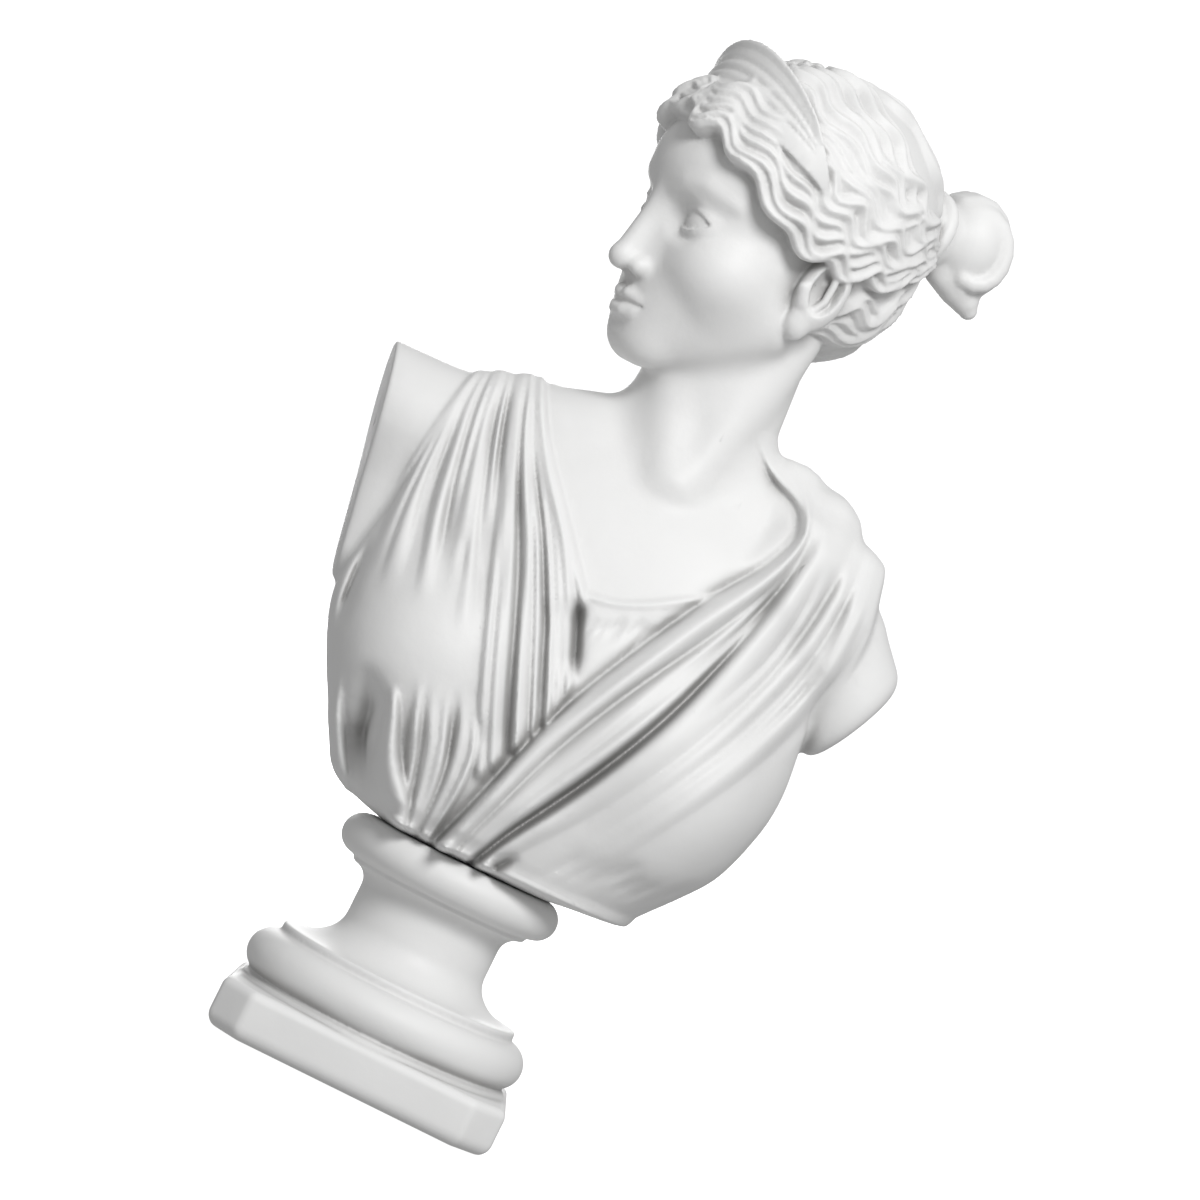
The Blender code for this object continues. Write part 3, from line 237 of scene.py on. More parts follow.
class Relief:
    """Heights over a flat patch (u, v), read back between its points."""

    def __init__(self, low, high, pitch):
        self.low = low
        self.pitch = pitch
        u = np.arange(low[0], high[0] + pitch, pitch, dtype=np.float32)
        v = np.arange(low[1], high[1] + pitch, pitch, dtype=np.float32)
        self.u, self.v = np.meshgrid(u, v, indexing="ij")
        self.h = np.zeros(self.u.shape, np.float32)

    def near(self, path, margin):
        spans = []
        for axis in range(2):
            first = (path[:, axis].min() - margin - self.low[axis]) / self.pitch
            last = (path[:, axis].max() + margin - self.low[axis]) / self.pitch
            spans.append(slice(max(int(first), 0), max(int(last) + 2, 0)))
        return tuple(spans)

    def swell(self, at, path, fade):
        """Distance to the path, the share of its length, the fading of its ends, and the side."""
        dist, share, side = path_distance(self.u[at], self.v[at], path)
        ends = smoothstep(0.0, fade[0], share) * smoothstep(0.0, fade[1], 1.0 - share)
        return dist, share, ends, side

    def ridge(self, path, width, height, fade=(0.15, 0.15), lean=0.0):
        """A round fold with a sharp valley beside it. Its half widths run along the path, and its
        crest leans to the path's left where lean is positive."""
        at = self.near(path, 1.14 * np.max(width))
        dist, share, ends, side = self.swell(at, path, fade)
        half = np.interp(share, np.linspace(0, 1, len(width)), width)
        half = half * (1 + 0.14 * np.sin(8 * share + 9 * lean))
        place = side * dist / half
        flank = np.where(place > lean, (place - lean) / (1 - lean), (lean - place) / (1 + lean))
        rise = height * ends * np.clip(1.0 - flank * flank, 0.0, 1.0) * np.sqrt(half / np.max(width))
        rise = rise * (1 + 0.16 * np.sin(6 * share + 20 * lean))
        self.h[at] = np.where(rise > 0, np.maximum(self.h[at], rise), self.h[at])

    def groove(self, path, width, depth, fade=(0.2, 0.2), lean=0.0):
        """A soft-edged furrow with a sharp floor, steeper on the path's left where lean is positive."""
        at = self.near(path, 4.5 * width)
        dist, _, ends, side = self.swell(at, path, fade)
        self.h[at] -= depth * ends * np.exp(-((dist / (width * (1 - lean * side))) ** 1.3))

    def soften(self, times):
        """Averages each height with its neighbours, which takes the steps out of slanting valleys."""
        for _ in range(times):
            h = self.h
            h[1:-1] = 0.25 * h[:-2] + 0.5 * h[1:-1] + 0.25 * h[2:]
            h[:, 1:-1] = 0.25 * h[:, :-2] + 0.5 * h[:, 1:-1] + 0.25 * h[:, 2:]

    def rub(self, reach):
        """Rubs the edges soft over a reach, whatever the pitch."""
        self.soften(round(2 * (reach / self.pitch) ** 2))

    def read(self, u, v):
        """Heights between the points of the patch."""
        s = np.clip((u - self.low[0]) / self.pitch, 0, self.h.shape[0] - 1.001)
        t = np.clip((v - self.low[1]) / self.pitch, 0, self.h.shape[1] - 1.001)
        i, j = s.astype(int), t.astype(int)
        s, t = s - i, t - j
        low = self.h[i, j] * (1 - t) + self.h[i, j + 1] * t
        high = self.h[i + 1, j] * (1 - t) + self.h[i + 1, j + 1] * t
        return low * (1 - s) + high * s


def between(first, last, count, rng, jitter=0.12, steps=26):
    """A family of curves from one guide curve to another, as (share, path)."""
    a, b = curve(first, steps), curve(last, steps)
    family = []
    for i in range(count):
        share = (i + 0.5 + rng.uniform(-jitter, jitter)) / count
        family.append((share, a + (b - a) * share))
    return family


def folds(relief, first, last, count, rng, height, fade=(0.02, 0.1), reach=(1.0, 1.0), fill=1.1):
    """Folds that fill the strip between two guides, each up to its own share of the strip's length."""
    a, b = curve(first, 26), curve(last, 26)
    along = np.gradient((a + b) / 2, axis=0)
    along /= np.linalg.norm(along, axis=1)[:, None]
    gap = b - a
    room = np.maximum(np.abs(gap[:, 0] * along[:, 1] - gap[:, 1] * along[:, 0]) / count / 2, 0.9)
    for _, path in between(first, last, count, rng, 0.3):
        end = int(len(path) * rng.uniform(*reach))
        half = room[:end] * fill * rng.uniform(0.8, 1.35)
        relief.ridge(path[:end], half, height * rng.uniform(0.75, 1.2), fade, rng.uniform(-0.4, 0.4))


def wrinkles(relief, first, last, count, rng, depth, width=0.6, length=0.45):
    """Short fine furrows here and there between two guides."""
    for _, path in between(first, last, count, rng, 0.45):
        start = int(rng.uniform(0, 1 - length) * len(path))
        stop = start + max(int(rng.uniform(0.5, 1.0) * length * len(path)), 4)
        relief.groove(path[start:stop], width * rng.uniform(0.8, 1.3), depth * rng.uniform(0.5, 1.2),
                      (0.4, 0.5), rng.uniform(-0.5, 0.5))


# Torso: sections at heights, as height, centre x, half width, centre y, half depth
SECTIONS = (
    (-6, 1.5, 17, 3, 15),
    (0, 1.5, 24.5, 3, 23),
    (3, 4.9, 37.5, 3, 31),
    (7.4, 3.2, 43.4, 3, 34.4),
    (15.2, 4.9, 49.3, 3, 37),
    (25, 5.7, 56, 3, 38),
    (39, 4.6, 61.8, 3, 37.5),
    (50, 3.8, 64, 3, 36.5),
    (62, 3.6, 63.2, 4, 35.5),
    (76, 3.4, 60.8, 5, 33.5),
    (90, 3, 57, 6, 31),
    (102, 3, 51, 7, 27.5),
    (112, 4, 42, 8, 22),
    (120, 5, 30, 8, 17),
    (128, 5, 18, 8, 13),
    (136, 5, 8, 8, 7),
)
TORSO_POWER = 2.35
TORSO_TOP = 132


def section(z):
    """Centre x, half width, centre y and half depth at heights z."""
    table = numbers(SECTIONS)
    out = []
    for i in range(1, 5):
        fine = curve(table[:, (0, i)], 240)
        out.append(np.interp(z, fine[:, 0], fine[:, 1]).astype(np.float32))
    return out


def torso(p):
    """A loft of superellipses, cut level at its top."""
    z = p[:, 2]
    cx, a, cy, b = section(z)
    slope = (section(z + 1)[1] - section(z - 1)[1]) / 2
    x, y = (p[:, 0] - cx) / a, (p[:, 1] - cy) / b
    k0 = (np.abs(x) ** TORSO_POWER + np.abs(y) ** TORSO_POWER) ** (1 / TORSO_POWER)
    steep = np.sqrt((x / a) ** 2 + (y / b) ** 2) / np.maximum(np.hypot(x, y), 1e-4)
    d = (k0 - 1) / np.maximum(steep, 1e-4)
    return smooth_max(d / np.sqrt(1 + slope * slope), z - TORSO_TOP, 3)


# The bundle of cloth on one shoulder, as paths of its rolls and their radii
SHOULDER_ROLLS = (
    ([(18, 29, 112), (26, 18, 125), (36, 5, 123.5), (42, -8, 113), (38, -14, 100), (31, -16, 86)],
     [6, 7.5, 7.5, 6, 5, 3]),
    ([(30, 29, 108), (42, 14, 122.5), (48, 2, 119.5), (50, -8, 108), (46, -13, 95), (40, -14, 80)],
     [6, 8, 7.6, 6, 5, 3]),
    ([(48, 26, 102), (55, 12, 112), (59.5, 1, 110), (60.5, -6, 100), (59, -9, 88), (54, -9, 74)],
     [6, 7.6, 7, 6, 5, 3]),
)


def body(p):
    """The torso with shoulders, breasts and the bundle of cloth on one shoulder."""
    clay = Clay(p, torso)
    clay.add(cone((-22, 8, 106), (-56, 7, 99), 15, 15), 10)
    clay.add(cone((26, 8, 106), (60, 7, 96), 15, 15), 10)
    clay.add(cone((8, 10, 119), (-40, 8, 108), 12, 9), 10)
    clay.add(cone((6, 10, 122), (46, 8, 108), 13, 9), 12)
    clay.add(ellipsoid((-29, -19, 44), (21, 20, 23)), 12)
    clay.add(ellipsoid((38, -19, 42), (21, 20, 23)), 12)
    for path, radii in SHOULDER_ROLLS:
        clay.add(tube(path, radii), 4, ((0, -30, 74), (80, 40, 140)))
    return clay.d


# The dress: how far its edges are rubbed, the patch of its height maps and the borders in it, as (x, z)
SOFTNESS = 0.42
DRESS_LOW = (-82, -6)
DRESS_HIGH = (100, 142)
GATHERS = 9
STRAP_EDGE = [(-37, 130), (-35, 122), (-31, 114), (-24, 104), (-11.5, 89), (-1.5, 77), (1.5, 73)]
SASH_EDGE = [(17, 136), (28, 126.5), (37.5, 122), (41.5, 117.5), (42, 112), (37.5, 101.5), (29, 89),
             (18.3, 69), (10.5, 53), (4, 37), (-1.5, 18), (-7, 1)]
NECKLINE = [(-3, 76), (6, 77.5), (14, 81), (22, 86), (33, 93)]
POCKET = [(-2, 75), (0.6, 68), (3.8, 60), (6.2, 52.5)]
POCKET_EDGE = [(1.5, 73), (4.5, 62), (6.5, 52), (4, 36), (-1.5, 18), (-7, 1)]
ARM_EDGE_LEFT = [(-51, 126), (-54, 112), (-57, 90), (-61.5, 60), (-66, 40)]
ARM_EDGE_RIGHT = [(66, 126), (69.5, 108), (72, 90), (70, 72), (72, 50)]


def chiton_folds(relief, rng):
    """Fine folds fanning from the shoulder, some ending over the breast, and the folds below it."""
    outer = [(-51, 124), (-51, 106), (-48, 84), (-42, 62), (-37, 50)]
    middle = [(-42, 124), (-34, 104), (-23, 82), (-12, 60), (-7, 46)]
    folds(relief, outer, middle, 7, rng, 3.2, (0.02, 0.5), (0.62, 1))
    inner = [(-42.5, 124), (-37, 104), (-29, 81), (-21, 60), (-13, 40), (-4, 19)]
    strap = [(-37, 124), (-26, 104), (-12.5, 87), (-2.5, 71), (4.5, 57), (9.5, 46)]
    folds(relief, inner, strap, 9, rng, 3.7, (0.02, 0.04))
    wrinkles(relief, inner, strap, 8, rng, 1.2, 0.8, 0.4)
    wrinkles(relief, outer, middle, 7, rng, 1.2, 0.9, 0.4)
    side = [(-53, 120), (-57, 95), (-61, 70), (-60, 48)]
    folds(relief, side, outer, 4, rng, 2.9, (0.02, 0.5), (0.7, 1))
    hollow = curve([(-45, 36), (-38, 27), (-36, 18), (-31, 8), (-27, 0)], 14)
    relief.groove(hollow, 3.8, 6.4, (0.3, 0.6), 0.2)
    leaf = curve([(-34, 33), (-31, 25), (-27, 14), (-21, 7), (-17, 0), (-15, -6)], 14)
    relief.ridge(leaf, [0.8, 2.6, 4, 3.6, 2.5, 2], 4.6, (0.1, 0.02), 0.3)
    side_fold = curve([(-50, 32), (-45, 18), (-37, 5), (-33, -4)], 14)
    relief.ridge(side_fold, [1, 2.4, 2.8, 2.2], 1.6, (0.4, 0.6))
    below = [(-31, 40), (-24, 20), (-16, 0)]
    centre = [(-13, 40), (-6, 24), (-9, -6)]
    folds(relief, below, centre, 5, rng, 3, (0.4, 0.02), fill=1.0)
    wrinkles(relief, below, centre, 5, rng, 1.4, 0.8, 0.6)
    relief.groove(curve([(-57.5, 66), (-57, 52), (-55, 38)], 8), 1.5, 2.6, (0.4, 0.4), -0.4)


# Finer furrows between the rolls of the sash
SASH_FURROWS = (
    # path, its steps, width, depth, fading of the ends, lean
    ([(8.5, 1.5), (11, 5), (14, 8.5)], 6, 1.4, 3.4, (0.2, 0.5), -0.3),
    ([(44.5, 106), (41, 92), (35, 78), (27, 62), (20, 46), (14, 31)], 20, 1, 2.2, (0.2, 0.5), -0.3),
    ([(51, 112), (51.5, 98), (49, 82), (43.5, 68), (36, 54)], 14, 1.1, 2.4, (0.25, 0.6), 0.3),
    ([(61, 112), (62, 94), (60, 76), (52, 58), (44, 46)], 14, 1.2, 2, (0.3, 0.6), 0.3),
)


def sash_folds(relief, rng):
    """Thick rolls along the sash with a deep furrow after them, flatter towards the arm."""
    inner = [(28, 134), (37.5, 127), (42.5, 118), (42.5, 111), (38, 100.5), (29.5, 87), (19, 69),
             (11, 53), (4.5, 37), (-1, 18), (-6, 1), (-8, -6)]
    crease = [(42, 132), (46, 122), (46.5, 111), (44.5, 96), (40.5, 80), (34.5, 61.5), (28.5, 47),
              (21.5, 33), (15.5, 22.5), (9, 11.5), (4, 1), (1, -6)]
    folds(relief, inner, crease, 3, rng, 5.2, (0.02, 0.01), fill=1.15)
    wrinkles(relief, inner, crease, 6, rng, 1.4, 0.9, 0.5)
    beyond = [(54, 130), (57, 120), (57.5, 108), (56, 92), (52, 76), (45, 59), (37.5, 44), (29.5, 30),
              (23, 20), (15.5, 10), (9.5, 1), (6, -6)]
    folds(relief, crease, beyond, 1, rng, 3.4, (0.02, 0.01), fill=1.25)
    outer = [(62, 128), (66, 112), (67, 96), (66, 80), (60, 62), (52, 46), (43, 30), (34, 14), (26, 1),
             (22, -6)]
    folds(relief, beyond, outer, 3, rng, 2.6, (0.02, 0.55), (0.75, 1))
    arm = [(67, 120), (71, 100), (71, 84), (68, 66), (62, 50)]
    folds(relief, outer[:5], arm, 2, rng, 1.8, (0.02, 0.6))
    relief.groove(curve(crease, 34)[7:] + numbers((-0.8, 0)), 1.8, 6.4, (0.3, 0.01), 0.4)
    for path, steps, width, depth, fade, lean in SASH_FURROWS:
        relief.groove(curve(path, steps), width, depth, fade, lean)
    wrinkles(relief, [(30, 20), (24, 10), (16, 0)], [(60, 24), (50, 12), (40, 2)], 7, rng, 0.7, 1.2, 0.8)


def gathers(relief, line, rng):
    """Short gathers below the neckline, and its thin hem."""
    for i in range(GATHERS):
        foot = 4 + 2.4 * i + rng.uniform(-0.9, 0.9)
        top = 75.0 + 0.9 * i + rng.uniform(-3, 0.5)
        path = curve([(foot + 1.6, top), (foot, top - 5), (foot - 1.6, top - 9 - rng.uniform(0, 8))], 6)
        relief.groove(path, rng.uniform(0.6, 1), rng.uniform(0.8, 1.6), (0.4, 0.6),
                      rng.uniform(-0.4, 0.4))
    relief.ridge(line + numbers((0.3, -1.1)), [1.1, 1.1], 0.9, (0.1, 0.05), 0.3)


def front_relief(pitch):
    """Height of the dress over the skin, seen from the front as (x, z)."""
    relief = Relief(DRESS_LOW, DRESS_HIGH, pitch)
    x, z = relief.u, relief.v
    rng = np.random.default_rng(7)
    strap = across(STRAP_EDGE, z)
    sash = across(SASH_EDGE, z)
    arm_left, arm_right = across(ARM_EDGE_LEFT, z), across(ARM_EDGE_RIGHT, z)
    line = curve(NECKLINE, 40)
    neckline = np.interp(x, line[:, 0], line[:, 1]).astype(np.float32)

    chiton_folds(relief, rng)
    hem = curve(STRAP_EDGE, 30) + numbers((-1.3, -0.6))
    relief.ridge(hem, [1.5, 1.5], 2.6, (0.02, 0.05), -0.3)
    chiton = 0.9 + relief.h

    relief.h = np.zeros_like(x)
    gathers(relief, line, rng)
    centre = 1.0 + relief.h

    relief.h = np.zeros_like(x)
    relief.groove(curve(POCKET, 12), 1.9, 7.5, (0.3, 0.35), 0.4)
    pocket = relief.h

    relief.h = np.zeros_like(x)
    sash_folds(relief, rng)
    thick = 2.5 - 1.2 * smoothstep(45, 62, x) * smoothstep(100, 60, z)
    edge = smoothstep(-4, 5, z + 0.72 * x - 150)
    mantle = thick + (0.8 - 1.4 * smoothstep(117, 125, z)) * edge + relief.h * (1 - 0.85 * edge)

    relief.h = np.zeros_like(x)
    relief.groove(curve(SASH_EDGE, 40) + numbers((-1, 0)), 1.4, 2.4, (0.6, 0.02))
    shade = relief.h

    soft = 0.7
    h = centre * smoothstep(-soft, soft, neckline - z) * smoothstep(-6, -4, x)
    h = h + (chiton - h) * smoothstep(-soft, soft, strap - x)
    low = smoothstep(72.8, 71.2, z) * smoothstep(soft, -soft, x - across(POCKET_EDGE, z))
    h = h + (np.maximum(chiton, h) - h) * low
    on_sash = smoothstep(-soft, soft, x - sash)
    h = h + (shade + pocket) * (1 - on_sash)
    h = h + (mantle - h) * on_sash
    bare = np.maximum(smoothstep(soft, -soft, x - arm_left) * smoothstep(50, 58, z),
                      smoothstep(-soft, soft, x - arm_right) * smoothstep(60, 66, z))
    shoulders = 1 - 0.4 * smoothstep(112, 120, z) * smoothstep(-30, -38, x)
    relief.h = h * (1 - bare) * (0.35 + 0.65 * smoothstep(-1, 8, z)) * shoulders
    relief.rub(SOFTNESS)
    return relief


def back_relief(pitch):
    """Height of the dress over the back, as (x, z)."""
    relief = Relief(DRESS_LOW, DRESS_HIGH, pitch)
    x, z = relief.u, relief.v
    rng = np.random.default_rng(11)
    folds(relief, [(44, 130), (28, 100), (0, 62), (-32, 26), (-48, 6)],
          [(66, 116), (66, 80), (56, 45), (38, 12), (30, -2)], 9, rng, 3.2, (0.02, 0.15), (0.8, 1))
    folds(relief, [(-50, 122), (-55, 90), (-58, 60), (-52, 30)],
          [(-37, 126), (-30, 98), (-30, 70), (-38, 40)], 6, rng, 2.4, (0.02, 0.4), (0.7, 1))
    wrinkles(relief, [(48, 120), (24, 80), (-10, 40), (-40, 8)], [(64, 100), (58, 60), (30, 10)],
             12, rng, 0.9, 0.7, 0.4)
    collar = 112 + 0.28 * np.abs(x - 4)
    cover = np.clip(smoothstep(0.6, -0.6, z - collar) + smoothstep(-0.6, 0.6, np.abs(x - 4) - 36), 0, 1)
    bare = np.maximum(smoothstep(0.6, -0.6, x + 57) * smoothstep(50, 58, z),
                      smoothstep(-0.6, 0.6, x - 70) * smoothstep(60, 66, z))
    relief.h = (1.6 + relief.h) * cover * (1 - bare) * (0.35 + 0.65 * smoothstep(-1, 8, z))
    relief.h *= 1 - 0.6 * smoothstep(98, 114, z)
    relief.rub(SOFTNESS)
    return relief


def arms(p):
    """The two stumps of the upper arms, each cut off by a plane."""
    left = cone((-56, 7, 99), (-84, 7, 98.5), 16, 16)(p)
    left = smooth_min(left, cone((-62, 7, 94), (-60, 8, 62), 15, 11)(p), 8)
    left = smooth_max(left, plane((-73.6, -6, 112), (-0.975, -0.12, -0.19))(p), 1)
    right = cone((63, 7, 92), (93, 12, 61.5), 16, 14.5)(p)
    right = smooth_max(right, plane((87.9, 5, 96.8), (0.90, 0.1, -0.43))(p), 5)
    return left, right


def neck(p):
    """The neck with a tendon on each side."""
    clay = Clay(p, cone((7.5, 10, 104), (4.8, 3, 158), 21.2, 19.6))
    clay.add(cone((20, -3, 162), (9, -14, 112), 5, 4), 6)
    clay.add(cone((-6, -4, 140), (4, -14, 112), 4, 3.5), 7)
    return clay.d


# Head: its own frame has x to its left, y to its back and z up from the eye line
HEAD_AT = numbers([-2, -3, 180])
HEAD_TURN = turn_matrix(-60, 10, 4)


def to_head(p):
    return (p - HEAD_AT) @ HEAD_TURN


def flesh(q):
    """Skull, cheeks, jaw and nose of one half, mirrored by q."""
    clay = Clay(q, ellipsoid((0, 5, 13), (28, 37, 31)))
    face = ((-1, -60, -50), (32, 10, 30))
    clay.add(ellipsoid((0, -7, -11), (24.5, 23.5, 27.5)), 8)
    clay.add(cone((18.5, 1, -20), (5, -21, -33), 7, 6.5), 8)
    clay.add(ellipsoid((0, -24, -34), (9, 7, 6.4)), 6, face)
    clay.add(ellipsoid((14.5, -15, -12), (11, 12, 10)), 8, face)
    clay.add(ellipsoid((0, -22.5, -24), (13, 9, 9.5)), 6, face)
    clay.add(ellipsoid((0, -12, 12), (21.5, 20.5, 16)), 8, face)
    clay.cut(ellipsoid((12.5, -33.5, -1.4), (8.6, 7.6, 6.4)), 2.4, face)
    clay.add(cone((0, -26.3, 6), (0, -28.4, -14), 3.6, 5.8), 4, face)
    clay.add(cone((0, -28.4, 8), (0, -36.2, -14.2), 2.7, 2.9), 3, face)
    clay.add(ellipsoid((0, -36.4, -15.6), (3.3, 3.5, 3.1)), 2, face)
    clay.add(ellipsoid((4.2, -32.2, -16.4), (2.4, 3.5, 2.6)), 1.6, face)
    clay.cut(ellipsoid((2.2, -34.6, -19), (1.2, 2, 1.3)), 0.6, face)
    return clay


def eye(clay):
    """An eyeball between two lids."""
    q = clay.p
    centre = numbers([11.8, -20.6, -0.6])
    at = clay.near((3, -36, -8), (22, -18, 8), 2)
    x, z = q[at, 0] - centre[0], q[at, 2] - centre[2]
    z = z - 0.06 * x
    upper = np.hypot(x, z + 5.4) - 8.3
    lower = np.hypot(x, z - 9.4) - 11.6
    opening = smooth_max(upper, lower, 0.3)
    lids = smooth_max(ellipsoid(centre, (7.8, 8.1, 7.3))(q[at]), -opening, 0.3)
    clay.d[at] = smooth_min(clay.d[at], lids, 0.9)
    clay.d[at] = smooth_min(clay.d[at], ellipsoid(centre, (7, 7.05, 7))(q[at]), 0.2)


def mouth(clay):
    """Two lips with the line between them, and hollows above and below."""
    box = ((-1, -42, -34), (12, -22, -18))
    clay.add(tube([(8.8, -26.6, -25.6), (5.6, -30, -24.8), (2.2, -31.8, -23.8), (0, -31.6, -24.4)],
                  [0.8, 1.7, 2, 1.8]), 1.2, box)
    clay.add(tube([(8, -27, -26.8), (4.8, -30.2, -28), (1.8, -31.4, -28.5), (0, -31.4, -28.6)],
                  [0.8, 2, 2.4, 2.5]), 1.2, box)
    clay.cut(tube([(8.4, -29.2, -26), (6.2, -31.2, -26.1), (3, -33.2, -26), (0, -33.4, -26.5)],
                  [0.05, 0.35, 0.45, 0.45]), 1, box)
    clay.cut(ellipsoid((0, -34.4, -32.2), (6.5, 2.6, 1.5)), 2.2, box)
    clay.cut(cone((0, -33.6, -19.8), (0, -34.4, -22.4), 0.8, 1.1), 1.2, box)


def ear(clay):
    """A shell with a rim, a hollow, a fold inside it, and a lobe."""
    box = ((20, -8, -28), (38, 24, 10))
    turn = turn_matrix(-14, 0, 0) @ turn_matrix(0, -12, 0)
    clay.add(ellipsoid((27.6, 7.6, -7), (4.6, 6.8, 11), turn), 1, box)
    clay.add(ellipsoid((27, 4, -16.6), (3, 3.5, 4.4)), 1.5, box)
    clay.cut(ellipsoid((32.8, 6.6, -5.6), (5.4, 4.5, 8.2), turn), 0.5, box)
    fold = [(29.4, 9, 1.4), (29.8, 9, -4), (29.6, 8, -9), (29, 5.6, -12.4)]
    clay.add(tube(fold, 1.1), 0.7, box)
    clay.cut(ellipsoid((30.8, 4.6, -7.6), (3.2, 2.3, 3.4)), 0.6, box)
    clay.add(cone((28.4, 1.6, -7), (28.4, 2.4, -11), 1.7, 1.5), 0.8, box)


def face(q):
    """The head without its hair, with both halves alike."""
    half = q.copy()
    half[:, 0] = np.abs(half[:, 0])
    clay = flesh(half)
    clay.add(tube([(4.5, -29.4, 6.6), (9, -29.6, 8.8), (15, -27, 9.2), (20.5, -20.5, 6.6)],
                  [1.4, 1.7, 1.5, 0.7]), 3,
             ((0, -36, 0), (26, -16, 14)))
    eye(clay)
    mouth(clay)
    ear(clay)
    return clay.d


# Hair: heights over an ellipsoid, in degrees around the head and from front to back
CAP_AT = numbers([0, 6, 13])
CAP = numbers([31.5, 41.5, 34.8])
HAIRLINE = [(-40, 24), (-34, 22.5), (-28, 19), (-19, 11.5), (-10, 3.5), (1, 0.5), (8, -3),
            (12, -14), (15, -24), (24, -24), (34, -18), (44, -10)]
NAPE_AT = numbers([0, 22, -6])
NAPE = numbers([23, 19, 17.5])
NAPE_END = ((0, 20, -8), (0, 12, -22), 15, 11.5)

# The patch of the hair, and its heights on bare skin and between the locks
HAIR_LOW = (-180, 12)
HAIR_HIGH = (180, 172)
BARE = -4.5
FLOOR = -0.2

# Guide curves of the locks, as degrees from the crown's middle and degrees from the front
HAIR_FAMILIES = (
    # first guide, last guide, count, half width, height, length of a wave
    ([(3, 25), (40, 22), (72, 38), (96, 56), (108, 72), (112, 90), (113, 106), (112, 124), (104, 150)],
     [(3, 38), (32, 46), (57, 61), (76, 80), (86, 93), (92, 104), (97, 118), (99, 134), (98, 152)],
     6, 2.7, 3.4, 14),
    ([(4, 50), (34, 50), (58, 62), (75, 82), (86, 98), (92, 116), (95, 136), (95, 153)],
     [(5, 92), (22, 98), (42, 106), (60, 118), (74, 134), (84, 153)],
     8, 3.3, 2.5, 15.5),
    ([(5, 96), (14, 106), (28, 120), (44, 134), (62, 153)],
     [(2, 108), (4, 120), (6, 136), (10, 153)],
     5, 3.8, 2.3, 17),
    ([(118, 92), (122, 108), (124, 124), (118, 142), (110, 155)],
     [(154, 86), (152, 112), (147, 134), (138, 148), (128, 157)],
     7, 2.5, 2.2, 13),
    ([(158, 86), (157, 112), (154, 136), (150, 154)],
     [(177, 86), (177, 112), (177, 138), (176, 156)],
     3, 2.6, 2, 13),
)


def on_cap(angles):
    """Points of the hair's ellipsoid and its outward directions there, from two angles in degrees."""
    around, back = np.radians(angles[..., 0]), np.radians(angles[..., 1])
    unit = np.stack([np.sin(around) * np.sin(back), -np.cos(back), np.cos(around) * np.sin(back)], -1)
    normal = unit / CAP
    normal /= np.linalg.norm(normal, axis=-1, keepdims=True)
    return (CAP_AT + unit * CAP).astype(np.float32), normal.astype(np.float32)


def draw_lock(relief, texels, path, normals, width, height, strands):
    """A rounded lock with finer strands along it."""
    tangent = np.gradient(path, axis=0)
    tangent /= np.linalg.norm(tangent, axis=1)[:, None] + 1e-9
    side = np.cross(normals, tangent)
    reach = width.max()
    inside = np.all((texels > path.min(0) - reach) & (texels < path.max(0) + reach), axis=-1)
    p = texels[inside]
    best = np.full(len(p), 1e6, np.float32)
    half = np.ones(len(p), np.float32)
    lateral, rise, along = np.zeros((3, len(p)), np.float32)
    for i in range(len(path) - 1):
        axis = path[i + 1] - path[i]
        q = p - path[i]
        t = np.clip(q @ axis / (axis @ axis + 1e-9), 0, 1)
        q = q - t[:, None] * axis
        d = np.sqrt((q * q).sum(1))
        closer = d < best
        best = np.where(closer, d, best)
        lateral = np.where(closer, q @ side[i], lateral)
        half = np.where(closer, width[i] + (width[i + 1] - width[i]) * t, half)
        rise = np.where(closer, height[i] + (height[i + 1] - height[i]) * t, rise)
        along = np.where(closer, (i + t) / (len(path) - 1), along)
    share = best / half
    profile = np.sqrt(np.clip(1 - share * share, 0, 1))
    cuts = (0.5 - 0.5 * np.cos(lateral / half * math.pi * strands)) * smoothstep(0.03, 0.15, along)
    lift = BARE + (rise - BARE) * profile - 0.7 * cuts * profile
    lift = np.where(share < 1, lift, BARE)
    flat = relief.h[inside]
    relief.h[inside] = np.maximum(flat, lift)


def hair_relief(pitch):
    """Wavy locks drawn from the parting and the nape back to the knot."""
    relief = Relief(HAIR_LOW, HAIR_HIGH, pitch)
    relief.h[:] = BARE
    texels, _ = on_cap(np.stack([relief.u, relief.v], -1))
    line = curve(HAIRLINE, 60)
    dist, share, _ = path_distance(texels[..., 1], texels[..., 2], line)
    at = np.clip((share * (len(line) - 1)).astype(int), 0, len(line) - 2)
    edge, offset = line[at + 1] - line[at], texels[..., 1:] - line[at]
    turn = edge[..., 0] * offset[..., 1] - edge[..., 1] * offset[..., 0]
    inside = np.where(turn > 0, dist, -dist)
    relief.h = BARE + (FLOOR - BARE) * smoothstep(0.5, 2.5, inside)
    rng = np.random.default_rng(5)
    for first, last, count, width, height, wave in HAIR_FAMILIES:
        for sign in (-1, 1):
            for share, angles in between(first, last, count, rng, 0.2, 54):
                wavy_lock(relief, texels, angles * (sign, 1), width, height, wave, count * share, rng)
    relief.soften(1)
    return relief


